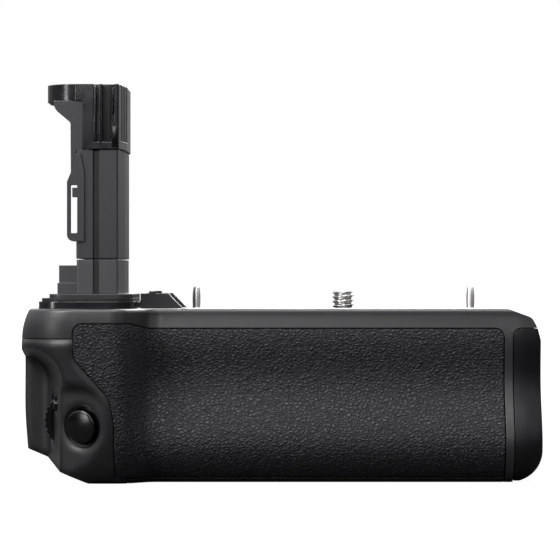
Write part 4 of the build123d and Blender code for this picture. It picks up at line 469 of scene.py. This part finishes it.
class Wardrobe:
    """Makes each finish once and puts it on pieces."""

    def __init__(self) -> None:
        """Starts with no material made."""
        self.made: dict[Finish, bpy.types.Material] = {}

    def material(self, finish: Finish) -> bpy.types.Material:
        """The material of a finish.

        Args:
            finish: which finish.

        Returns:
            Its material, made on first use.
        """
        if finish not in self.made:
            self.made[finish] = RECIPES[finish].build()
        return self.made[finish]

    def dress(self, piece: bpy.types.Object, finish: Finish) -> None:
        """Puts a finish all over a piece.

        Args:
            piece: a mesh object.
            finish: which finish.
        """
        piece.data.materials.clear()
        piece.data.materials.append(self.material(finish))

    def dress_nodes(self, nodes: dict[str, bpy.types.Object], record: dict) -> None:
        """Puts on every CAD node the finish of its slot in the record.

        Args:
            nodes: the CAD nodes by name.
            record: the part's record.
        """
        for part in record["subparts"]:
            finish = SPECIAL.get(part["node"], Finish(part["material_slot"]))
            self.dress(nodes[part["node"]], finish)


# Modelling tools


@contextmanager
def editing(piece: bpy.types.Object) -> Iterator[None]:
    """Edit mode on one piece alone, with all of it selected.

    Args:
        piece: the mesh object.
    """
    select_only(piece)
    bpy.ops.object.mode_set(mode="EDIT")
    bpy.ops.mesh.select_all(action="SELECT")
    yield
    bpy.ops.object.mode_set(mode="OBJECT")


def select_only(piece: bpy.types.Object) -> None:
    """Selects one object and makes it active.

    Args:
        piece: the object.
    """
    bpy.ops.object.select_all(action="DESELECT")
    piece.select_set(True)
    bpy.context.view_layer.objects.active = piece


def apply_modifier(piece: bpy.types.Object, kind: str, **settings: object) -> None:
    """Adds a modifier and applies it.

    Args:
        piece: the mesh object.
        kind: the modifier's type.
        settings: its properties.
    """
    modifier = piece.modifiers.new(kind.lower(), kind)
    for key, value in settings.items():
        setattr(modifier, key, value)
    select_only(piece)
    bpy.ops.object.modifier_apply(modifier=modifier.name)


def smooth(piece: bpy.types.Object, degrees: float = 35.0) -> None:
    """Smooth shading with edges sharper than degrees kept."""
    select_only(piece)
    bpy.ops.object.shade_smooth_by_angle(angle=math.radians(degrees))


def settle(piece: bpy.types.Object) -> None:
    """Puts a piece's place into its mesh, so that its object sits at the origin."""
    piece.data.transform(piece.matrix_world)
    piece.matrix_world = Matrix.Identity(4)


def points_of(piece: bpy.types.Object) -> np.ndarray:
    """The points of a mesh.

    Args:
        piece: the mesh object.

    Returns:
        The points in metres, one a row.
    """
    flat = np.zeros(len(piece.data.vertices) * 3)
    piece.data.vertices.foreach_get("co", flat)
    return flat.reshape(-1, 3)


def move_points(piece: bpy.types.Object, points: np.ndarray) -> None:
    """Gives the mesh new points."""
    piece.data.vertices.foreach_set("co", points.ravel())
    piece.data.update()


def scale_across(points: np.ndarray, scale: np.ndarray) -> None:
    """Moves points towards or away from the Z axis.

    Args:
        points: points in metres, one a row, which are changed in place.
        scale: what each point's distance from the axis is multiplied by.
    """
    points[:, 0] *= scale
    points[:, 1] *= scale


def turned(name: str, profile: Sequence[Span], centre: Point, steps: int) -> bpy.types.Object:
    """A turned piece: its profile is drawn point by point and spun about the Z axis.

    Args:
        name: the object's name.
        profile: radius and height of each point in mm, from the axis round to the axis.
        centre: where the axis stands, in metres.
        steps: faces round the axis.

    Returns:
        The piece, with its place in its mesh.
    """
    bpy.ops.object.select_all(action="DESELECT")
    bpy.ops.mesh.primitive_circle_add(vertices=3, radius=MM, location=(0, 0, 0))
    piece = bpy.context.object
    piece.name = name
    with editing(piece):
        bpy.ops.mesh.merge(type="CENTER")
        radius, height = profile[0]
        bpy.ops.transform.translate(value=(radius * MM, 0, height * MM))
        for (r0, z0), (r1, z1) in zip(profile, profile[1:]):
            step = ((r1 - r0) * MM, 0, (z1 - z0) * MM)
            bpy.ops.mesh.extrude_region_move(TRANSFORM_OT_translate={"value": step})
        bpy.ops.mesh.select_all(action="SELECT")
        bpy.ops.mesh.spin(steps=steps, angle=2 * math.pi, center=(0, 0, 0), axis=(0, 0, 1))
        bpy.ops.mesh.select_all(action="SELECT")
        bpy.ops.mesh.remove_doubles(threshold=WELD_MM * MM)
        bpy.ops.mesh.normals_make_consistent(inside=False)
    piece.data.transform(Matrix.Translation(Vector(centre)))
    piece.data.update()
    return piece


# Pieces


@dataclass
class LeatherPanel:
    """A rubber panel with a pebbled grain pressed into it."""

    node: str
    outward: Point
    body: str = "housing"
    voxel_mm: float = 0.3
    weld_mm: float = 0.002
    glued_below: float = -0.3
    kept_share: float = 0.64
    pebble_mm: Span = (1.3, 0.9)
    lean_degrees: float = 35.0
    depth_mm: float = 0.13
    crease_share: float = 0.26
    warp_mm: Span = (3.1, 0.5)
    swell_mm: float = 2.0
    swell: Span = (0.82, 0.18)
    seed: int = 11

    def pebble(self, point: Vector) -> float:
        """The grain's height at a point, from 0 in a crease to 1 on a pebble.

        Args:
            point: a point in metres.

        Returns:
            The height.
        """
        warp = noise.noise_vector(point / (self.warp_mm[0] * MM)) * (self.warp_mm[1] * MM)
        lean = math.radians(self.lean_degrees)
        x, z = point.x + warp.x, point.z + warp.z
        along = (x * math.cos(lean) + z * math.sin(lean)) / (self.pebble_mm[0] * MM)
        across = (z * math.cos(lean) - x * math.sin(lean)) / (self.pebble_mm[1] * MM)
        deep = (point.y + warp.y) / (self.pebble_mm[0] * MM)
        near, next_near = noise.voronoi(Vector((along, across, deep)))[0][:2]
        edge = min(1.0, (next_near - near) / self.crease_share)
        swell = self.swell[0] + self.swell[1] * noise.noise(point / (self.swell_mm * MM))
        return edge * edge * (3 - 2 * edge) * swell

    def thin_glued_side(self, panel: bpy.types.Object) -> None:
        """Spends fewer faces on the side that lies against the housing.

        Args:
            panel: the remeshed panel.
        """
        facing = np.array([v.normal for v in panel.data.vertices]) @ np.array(self.outward)
        group = panel.vertex_groups.new(name="glued_side")
        group.add(np.flatnonzero(facing < self.glued_below).tolist(), 1.0, "REPLACE")
        apply_modifier(panel, "DECIMATE", ratio=self.kept_share, vertex_group=group.name)
        panel.vertex_groups.clear()

    def build(self, wardrobe: Wardrobe) -> bpy.types.Object:
        """Makes the panel in the place of its plain node.

        Args:
            wardrobe: gives the finish.

        Returns:
            The panel.
        """
        plain = frame["nodes"][self.node]
        panel = plain.copy()
        panel.data = plain.data.copy()
        panel.name = self.node + "_leather"
        for key in list(panel.keys()):
            del panel[key]
        bpy.context.scene.collection.objects.link(panel)
        with editing(panel):
            bpy.ops.mesh.remove_doubles(threshold=self.weld_mm * MM)
        apply_modifier(panel, "REMESH", mode="VOXEL", voxel_size=self.voxel_mm * MM)
        apply_modifier(panel, "SMOOTH", factor=0.5, iterations=2)
        self.thin_glued_side(panel)
        noise.seed_set(self.seed)
        points = points_of(panel)
        normals = np.array([v.normal for v in panel.data.vertices])
        height = np.array([self.pebble(Vector(p)) for p in points])
        sunk = ((height - 1.0) * self.depth_mm * MM)[:, None]
        move_points(panel, points + normals * sunk)
        grain = panel.data.attributes.new(GRAIN, "FLOAT", "POINT")
        grain.data.foreach_set("value", height.astype(np.float32))
        smooth(panel, 180.0)
        stand_in(panel, self.node, self.body, Finish.RUBBER, wardrobe)
        return panel


@dataclass(frozen=True)
class Thread:
    """A screw thread of 20 turns to the inch, cut into a turned wall."""

    crest_mm: float = 3.1
    root_mm: float = 2.42
    pitch_mm: float = 1.27
    slope: float = 2.35
    flat: float = 0.12

    def radius(self, points: np.ndarray) -> np.ndarray:
        """The thread's radius in mm at each point's height and turn.

        Args:
            points: points in metres, one a row.

        Returns:
            One radius a point.
        """
        turn = np.arctan2(points[:, 1], points[:, 0]) / (2 * math.pi)
        phase = (points[:, 2] / MM / self.pitch_mm - turn) % 1.0
        ridge = np.clip(np.abs(phase - 0.5) * self.slope - self.flat, 0, 1)
        return self.crest_mm - (self.crest_mm - self.root_mm) * (1 - ridge)


@dataclass
class ThreadedScrew:
    """The mounting screw with its real thread."""

    thread: Thread = Thread()
    rings_per_turn: int = 12
    steps: int = 72
    shaft_mm: float = 2.4
    flange_mm: float = 5.0
    flange_height_mm: float = 2.0
    washer_gap_mm: float = 0.05
    neck_mm: float = 2.3
    nose_mm: float = 0.7
    foot_mm: float = 0.25
    under_root_mm: float = 0.1

    def build(self, wardrobe: Wardrobe) -> bpy.types.Object:
        """Makes the screw in the place of its plain node.

        Args:
            wardrobe: gives the finish.

        Returns:
            The screw.
        """
        low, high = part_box("attachment_screw")
        base, top = low.z / MM, high.z / MM
        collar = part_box("screw_collar")[1].z / MM
        flange_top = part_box("thrust_washer")[0].z / MM - self.washer_gap_mm
        flange_low = flange_top - self.flange_height_mm
        rise = top - collar
        crest, root = self.thread.crest_mm, self.thread.root_mm
        rings = int(rise / self.thread.pitch_mm * self.rings_per_turn)
        wall = [(crest, collar + rise * i / rings) for i in range(rings + 1)]
        profile = [(0, base), (self.shaft_mm, base), (self.shaft_mm, flange_low),
                   (self.flange_mm, flange_low), (self.flange_mm, flange_top),
                   (self.neck_mm, flange_top), (self.neck_mm, collar), *wall, (0, top)]
        screw = turned("mounting_screw", profile, (0, 0, 0), self.steps)
        points = points_of(screw)
        radius = np.hypot(points[:, 0], points[:, 1]) / MM
        height = points[:, 2] / MM
        nose = np.clip((top - height) / self.nose_mm, 0, 1)
        foot = np.clip((height - collar) / self.foot_mm, 0, 1)
        under = self.under_root_mm
        limit = root - under + (crest - root + under) * np.minimum(nose, foot)
        on_wall = (np.abs(radius - crest) < ON_WALL_MM) & (height >= collar - 0.001)
        cut = np.minimum(self.thread.radius(points), limit)
        scale_across(points, np.where(on_wall, cut / np.maximum(radius, ON_WALL_MM), 1.0))
        move_points(screw, points)
        smooth(screw, 50.0)
        stand_in(screw, "attachment_screw", "attachment_screw", Finish.BRIGHT, wardrobe)
        return screw


def stand_in(piece: bpy.types.Object, node: str, body: str, finish: Finish,
             wardrobe: Wardrobe) -> None:
    """Puts a finished piece in the place of a CAD node.

    Args:
        piece: the new piece.
        node: the node that it replaces.
        body: the body that carries it.
        finish: its finish.
        wardrobe: gives the finish.
    """
    wardrobe.dress(piece, finish)
    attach(piece, body)
    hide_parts(node)


def joined(pieces: Sequence[bpy.types.Object]) -> bpy.types.Object:
    """Joins pieces into the first one.

    Args:
        pieces: the mesh objects.

    Returns:
        The first one, with all of them in its mesh.
    """
    select_only(pieces[0])
    for piece in pieces:
        piece.select_set(True)
    bpy.ops.object.join()
    return pieces[0]


def islands(node: str, apart_mm: float) -> list[Span]:
    """Where a node's separate solids stand.

    Args:
        node: a node of several solids, none above another.
        apart_mm: points closer than this belong to one solid.

    Returns:
        X and Y of each solid's middle, in metres.
    """
    groups: list[list[np.ndarray]] = []
    for point in points_of(frame["nodes"][node])[:, :2]:
        home = next((g for g in groups if np.hypot(*(g[0] - point)) < apart_mm * MM), None)
        if home is None:
            groups.append([point])
        else:
            home.append(point)
    middles = [(np.min(g, axis=0) + np.max(g, axis=0)) / 2 for g in groups]
    return [(float(x), float(y)) for x, y in middles]


@dataclass
class GuidePins:
    """The two bright pins with their domed tips."""

    node: str = "guide_pins"
    apart_mm: float = 8.0
    head_mm: Span = (2.6, 1.5)
    shank_mm: float = 1.5
    neck_mm: float = 1.35
    pin_mm: float = 1.1
    straight_mm: float = 3.4
    dome_mm: tuple[Span, ...] = ((0.9, 0.8), (0.84, 0.5), (0.72, 0.25), (0.5, 0.08), (0.25, 0.01))
    steps: int = 48

    def build(self, wardrobe: Wardrobe) -> bpy.types.Object:
        """Makes both pins in the place of their plain node.

        Args:
            wardrobe: gives the finish.

        Returns:
            The pins, as one piece.
        """
        low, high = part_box(self.node)
        base, top = low.z / MM, high.z / MM
        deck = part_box("top_cover")[1].z / MM
        head, head_height = self.head_mm
        under = base + head_height
        profile = [(0, base), (head - 0.1, base), (head, base + 0.1), (head, under),
                   (self.shank_mm, under), (self.shank_mm, deck - 0.15), (self.neck_mm, deck),
                   (self.pin_mm, deck), (self.pin_mm, deck + self.straight_mm),
                   *((radius, top - drop) for radius, drop in self.dome_mm), (0, top)]
        pins = [turned(f"guide_pin_{i}", profile, (x, y, 0), self.steps)
                for i, (x, y) in enumerate(islands(self.node, self.apart_mm))]
        piece = joined(pins)
        smooth(piece, 40.0)
        stand_in(piece, self.node, "housing", Finish.PIN, wardrobe)
        return piece


@dataclass
class BaseScrews:
    """The base plate's screws, each with a cross recess."""

    node: str = "base_screws"
    apart_mm: float = 8.0
    head_mm: float = 1.85
    shank_mm: float = 0.85
    head_height_mm: float = 0.9
    rim: tuple[Span, ...] = ((0.72, 0.0), (0.93, 0.08), (1.0, 0.26))
    cross_mm: Point = (2.1, 0.5, 0.6)
    steps: int = 40

    def one(self, name: str, x: float, y: float) -> bpy.types.Object:
        """Makes one screw with its head downwards.

        Args:
            name: the screw's name.
            x: its place in metres.
            y: its place in metres.

        Returns:
            The screw.
        """
        low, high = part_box(self.node)
        base, top = low.z / MM, high.z / MM
        head, neck, under = self.head_mm, self.shank_mm, base + self.head_height_mm
        profile = [(0, base), *((head * share, base + rise) for share, rise in self.rim),
                   (head, under), (neck, under), (neck, top), (0, top)]
        screw = turned(name, profile, (x, y, 0), self.steps)
        long, wide, deep = self.cross_mm
        for size in ((long, wide), (wide, long)):
            bpy.ops.object.select_all(action="DESELECT")
            bpy.ops.mesh.primitive_cube_add(size=MM, location=(x, y, base * MM))
            cutter = bpy.context.object
            cutter.data.transform(Matrix.Diagonal((*size, 2 * deep, 1.0)))
            settle(cutter)
            apply_modifier(screw, "BOOLEAN", object=cutter, operation="DIFFERENCE", solver="EXACT")
            bpy.data.objects.remove(cutter)
        return screw

    def build(self, wardrobe: Wardrobe) -> bpy.types.Object:
        """Makes the screws in the place of their plain node.

        Args:
            wardrobe: gives the finish.

        Returns:
            The screws, as one piece.
        """
        places = islands(self.node, self.apart_mm)
        piece = joined([self.one(f"base_screw_{i}", x, y) for i, (x, y) in enumerate(places)])
        smooth(piece, 30.0)
        stand_in(piece, self.node, "housing", Finish.BLACK_METAL, wardrobe)
        return piece


@dataclass
class TripodBush:
    """The tripod socket's bush with its inner thread."""

    node: str = "tripod_socket"
    thread: Thread = Thread(3.1, 2.7)
    rings_per_turn: int = 12
    roof_mm: float = 0.4
    flare_mm: Span = (0.4, 0.45)
    edge_mm: float = 0.15
    steps: int = 72

    def build(self, wardrobe: Wardrobe) -> bpy.types.Object:
        """Makes the bush in the place of its plain node.

        Args:
            wardrobe: gives the finish.

        Returns:
            The bush.
        """
        low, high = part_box(self.node)
        base, top, outer = low.z / MM, high.z / MM, high.x / MM
        bore, end, edge = self.thread.crest_mm, top - self.roof_mm, self.edge_mm
        flare_width, flare_height = self.flare_mm
        rings = int((end - base) / self.thread.pitch_mm * self.rings_per_turn)
        wall = [(bore, end + (base + flare_height - end) * i / rings) for i in range(rings + 1)]
        profile = [(0, end), *wall, (bore + flare_width, base), (outer - edge, base),
                   (outer, base + edge), (outer, top), (0, top)]
        bush = turned("tripod_bush", profile, (0, 0, 0), self.steps)
        points = points_of(bush)
        radius = np.hypot(points[:, 0], points[:, 1]) / MM
        height = points[:, 2] / MM
        on_wall = (np.abs(radius - bore) < ON_WALL_MM) & (height < end - ON_WALL_MM)
        cut = self.thread.radius(points)
        scale_across(points, np.where(on_wall, cut / np.maximum(radius, ON_WALL_MM), 1.0))
        move_points(bush, points)
        smooth(bush, 50.0)
        stand_in(bush, self.node, "housing", Finish.PLATED, wardrobe)
        return bush


@dataclass
class ShutterDome:
    """The shutter button with its rounded rim and low dome."""

    node: str = "shutter_button"
    at_mm: Point = (-69.3, -44.2, 15.3)
    yaw_degrees: float = 31.0
    pitch_degrees: float = 4.0
    profile_mm: tuple[Span, ...] = (
        (0, -3.0), (5.2, -3.0), (5.2, -2.15), (4.4, -2.15), (4.4, 0.55), (4.36, 0.72), (4.24, 0.87),
        (4.05, 0.97), (3.7, 1.05), (3.0, 1.16), (2.0, 1.28), (1.0, 1.35), (0, 1.38))
    steps: int = 96

    def build(self, wardrobe: Wardrobe) -> bpy.types.Object:
        """Makes the button in the place of its plain node.

        Args:
            wardrobe: gives the finish.

        Returns:
            The button.
        """
        button = turned("shutter_dome", self.profile_mm, (0, 0, 0), self.steps)
        yaw, pitch = math.radians(self.yaw_degrees), math.radians(self.pitch_degrees)
        facing = Vector((-math.sin(yaw) * math.cos(pitch), -math.cos(yaw) * math.cos(pitch),
                         -math.sin(pitch)))
        turn = facing.to_track_quat("Z", "Y").to_matrix().to_4x4()
        button.data.transform(Matrix.Translation(Vector(self.at_mm) * MM) @ turn)
        button.data.update()
        smooth(button, 50.0)
        stand_in(button, self.node, self.node, Finish.CONTROL, wardrobe)
        return button


def rounded_bar(name: str, low_mm: Point, high_mm: Point, round_mm: float) -> bpy.types.Object:
    """A straight bar with rounded edges.

    Args:
        name: the object's name.
        low_mm: its lowest corner.
        high_mm: its highest corner.
        round_mm: how far its edges are rounded.

    Returns:
        The bar, with its place in its mesh.
    """
    low, high = Vector(low_mm) * MM, Vector(high_mm) * MM
    bpy.ops.object.select_all(action="DESELECT")
    bpy.ops.mesh.primitive_cube_add(size=1.0, location=(0, 0, 0))
    bar = bpy.context.object
    bar.name = name
    bar.data.transform(Matrix.Translation((low + high) / 2) @ Matrix.Diagonal((*(high - low), 1.0)))
    bar.data.update()
    apply_modifier(bar, "BEVEL", width=round_mm * MM, segments=ROUND_STEPS, limit_method="NONE")
    smooth(bar, 50.0)
    return bar


class Bar(NamedTuple):
    """A straight bar: its spans and the rounding of its edges in mm, and its finish."""

    name: str
    x: Span
    y: Span
    z: Span
    round_mm: float
    finish: Finish


@dataclass
class HeadFittings:
    """The rails, socket and latch in the front of the stem's head, and a thin black sheet in its
    recess as painted shade.
    """

    bars: tuple[Bar, ...] = (
        Bar("rail_outer", (-66.78, -66.08), (-36.7, -34.75), (90.0, 104.9), 0.3, Finish.GLOSS),
        Bar("rail_inner", (-65.42, -64.92), (-36.6, -34.75), (90.0, 104.9), 0.22, Finish.GLOSS),
        # A thin black sheet on the recess floor: painted shade in the recess.
        Bar("head_recess_shade_sheet", (-64.5, -62.3), (-35.1, -34.7), (90.2, 105.2), 0.08, Finish.SEAL),
        Bar("head_socket", (-62.05, -60.5), (-36.75, -34.7), (88.7, 94.2), 0.15, Finish.CONTROL),
        Bar("head_latch", (-61.9, -61.4), (-36.5, -34.7), (97.6, 104.4), 0.15, Finish.CONTROL),
    )

    def build(self, wardrobe: Wardrobe) -> list[bpy.types.Object]:
        """Makes the fittings.

        Args:
            wardrobe: gives the finishes.

        Returns:
            The pieces.
        """
        made = []
        for name, x, y, z, round_mm, finish in self.bars:
            bar = rounded_bar(name, (x[0], y[0], z[0]), (x[1], y[1], z[1]), round_mm)
            wardrobe.dress(bar, finish)
            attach(bar, "housing")
            made.append(bar)
        return made


# Scene


class Lamp(NamedTuple):
    """A round soft lamp: places and size in metres, power in watts."""

    name: str
    at: Point
    target: Point
    size: float
    power: float


@dataclass
class Studio:
    """Pale floor, soft lamps and the camera at the viewing angle of the product picture."""

    camera_at: Point = (-0.017, -0.770, 0.0532)
    view_width: float = 0.1512
    view_distance: float = 0.750
    sensor_mm: float = 36.0
    shift: Span = (-0.00357, 0.00268)
    sight: float = 20.0
    front_glow: float = 0.02
    back_glow: float = 0.26
    back_rise: Span = (0.05, 0.9)
    roof_glow: float = 1.2
    roof_rise: Span = (0.03, 0.6)
    strip_glow: float = 0.4
    strip_foot: Span = (-0.25, -0.05)
    strip_end: Span = (-0.2, 0.1)
    left_strip: tuple[Span, Span] = ((-0.93, -0.84), (-0.74, -0.62))
    right_strip: tuple[Span, Span] = ((0.78, 0.84), (0.88, 0.95))
    right_share: float = 0.2
    sky_light: float = 0.04
    floor_width: float = 12.0
    floor_drop: float = 0.0001
    floor_grey: float = 0.2
    mirrored_grey: float = 0.05
    mirrored_share: float = 0.8
    floor_share: float = 0.75
    floor_glow: float = 1.3
    floor_fade: Span = (0.16, 0.42)
    lamps: tuple[Lamp, ...] = (
        Lamp("main", (-0.55, -0.45, 0.62), (-0.02, 0.0, 0.04), 0.4, 9.5),
        Lamp("front", (-0.12, -0.75, 0.30), (0.0, 0.0, 0.04), 0.2, 0.8),
        Lamp("overhead", (0.05, -0.20, 0.80), (0.0, 0.0, 0.03), 0.5, 6.5),
        Lamp("left_rim", (-0.78, -0.55, 0.09), (-0.03, 0.0, 0.04), 0.14, 1.1),
        Lamp("right_fill", (0.85, -0.45, 0.35), (0.0, 0.0, 0.04), 0.35, 0.3),
        Lamp("back", (0.1, 0.8, 0.5), (0.0, 0.0, 0.04), 0.6, 8.0),
    )

    def aim(self, thing: bpy.types.Object, at: Point) -> None:
        """Turns a lamp or camera to look at a point."""
        away = Vector(at) - thing.location
        thing.rotation_euler = away.to_track_quat("-Z", "Y").to_euler()

    def set_camera(self) -> None:
        """Creates the camera."""
        data = bpy.data.cameras.new("portrait")
        data.sensor_width = self.sensor_mm
        data.lens = self.sensor_mm * self.view_distance / self.view_width
        data.shift_x, data.shift_y = self.shift
        data.clip_end = self.sight
        camera = bpy.data.objects.new("portrait", data)
        camera.location = self.camera_at
        camera.rotation_euler = (math.radians(90), 0, 0)
        bpy.context.scene.collection.objects.link(camera)
        bpy.context.scene.camera = camera

    def light_lamps(self) -> None:
        """Hangs the soft lamps."""
        for name, place, target, size, power in self.lamps:
            data = bpy.data.lights.new(name, "AREA")
            data.shape = "DISK"
            data.size = size
            data.energy = power
            lamp = bpy.data.objects.new(name, data)
            lamp.location = place
            self.aim(lamp, target)
            bpy.context.scene.collection.objects.link(lamp)

    def paint_sky(self) -> None:
        """White for the camera, glowing strips and a roof for reflections, little as light."""
        world = bpy.data.worlds.new("sky")
        bpy.context.scene.world = world
        tree = ShaderTree(world)
        rays = {name: tree.node("ShaderNodeLightPath", {}, {}, f"Is {name} Ray")
                for name in ("Camera", "Glossy", "Transmission")}
        way = tree.node("ShaderNodeTexCoord", {}, {}, "Generated")
        x, y, z = (tree.node("ShaderNodeSeparateXYZ", {}, {"Vector": way}, axis) for axis in "XYZ")
        back = y.step(*self.back_rise) * self.back_glow
        sides = x.band(*self.left_strip) + x.band(*self.right_strip) * self.right_share
        ends = (1.0 - y.step(*self.strip_end)) * z.step(*self.strip_foot)
        strips = sides * ends * self.strip_glow
        roof = z.step(*self.roof_rise) * self.roof_glow
        mirrored = rays["Glossy"] * (self.front_glow + back + strips + roof)
        seen = rays["Camera"] + rays["Transmission"]
        lit = (1.0 - seen - rays["Glossy"]) * self.sky_light
        inputs = {"Color": (1.0, 1.0, 1.0, 1.0), "Strength": seen + mirrored + lit}
        tree.end(tree.node("ShaderNodeBackground", {}, inputs), "ShaderNodeOutputWorld")

    def lay_floor(self) -> None:
        """A wide white floor that keeps a soft shadow."""
        bpy.ops.object.select_all(action="DESELECT")
        bpy.ops.mesh.primitive_plane_add(size=self.floor_width, location=(0, 0, -self.floor_drop))
        floor = bpy.context.object
        floor.name = "floor"
        settle(floor)
        tree = ShaderTree.named("floor_white")
        seen, glossy = (tree.node("ShaderNodeLightPath", {}, {}, f"Is {ray} Ray")
                        for ray in ("Camera", "Glossy"))
        lit, dim = (tree.node("ShaderNodeBsdfDiffuse", {}, {"Color": (grey, grey, grey, 1.0)})
                    for grey in (self.floor_grey, self.mirrored_grey))
        glow = tree.node("ShaderNodeEmission", {}, {"Color": (1.0, 1.0, 1.0, 1.0),
                                                    "Strength": self.floor_glow})
        reach = tree.node("ShaderNodeVectorMath", {"operation": "LENGTH"}, {0: tree.place()},
                          "Value")
        share = self.floor_share + reach.step(*self.floor_fade) * (1.0 - self.floor_share)
        look = tree.node("ShaderNodeMixShader", {}, {0: seen * share, 1: lit, 2: glow})
        mirrored = glossy * self.mirrored_share
        tree.end(tree.node("ShaderNodeMixShader", {}, {0: mirrored, 1: look, 2: dim}))
        floor.data.materials.append(tree.owner)

    def build(self) -> None:
        """Sets the whole studio."""
        bpy.context.scene.view_settings.view_transform = "Standard"
        self.set_camera()
        self.light_lamps()
        self.paint_sky()
        self.lay_floor()


def main() -> None:
    """Builds the grip's pieces in order and dresses them."""
    logging.basicConfig(level=logging.INFO, format="%(name)s: %(message)s")
    Studio().build()
    wardrobe = Wardrobe()
    wardrobe.dress_nodes(frame["nodes"], frame["record"])
    makers = [
        LeatherPanel("front_grip", (0, -1, 0)),
        LeatherPanel("thumb_pad", (0, 1, 0)),
        LeatherPanel("end_pad", (0, 1, 0)),
        ThreadedScrew(),
        GuidePins(),
        BaseScrews(),
        TripodBush(),
        ShutterDome(),
        HeadFittings(),
    ]
    for maker in makers:
        made = maker.build(wardrobe)
        for piece in made if isinstance(made, list) else [made]:
            log.info("%s: %d faces", piece.name, len(piece.data.polygons))


if __name__ == "__main__":
    main()
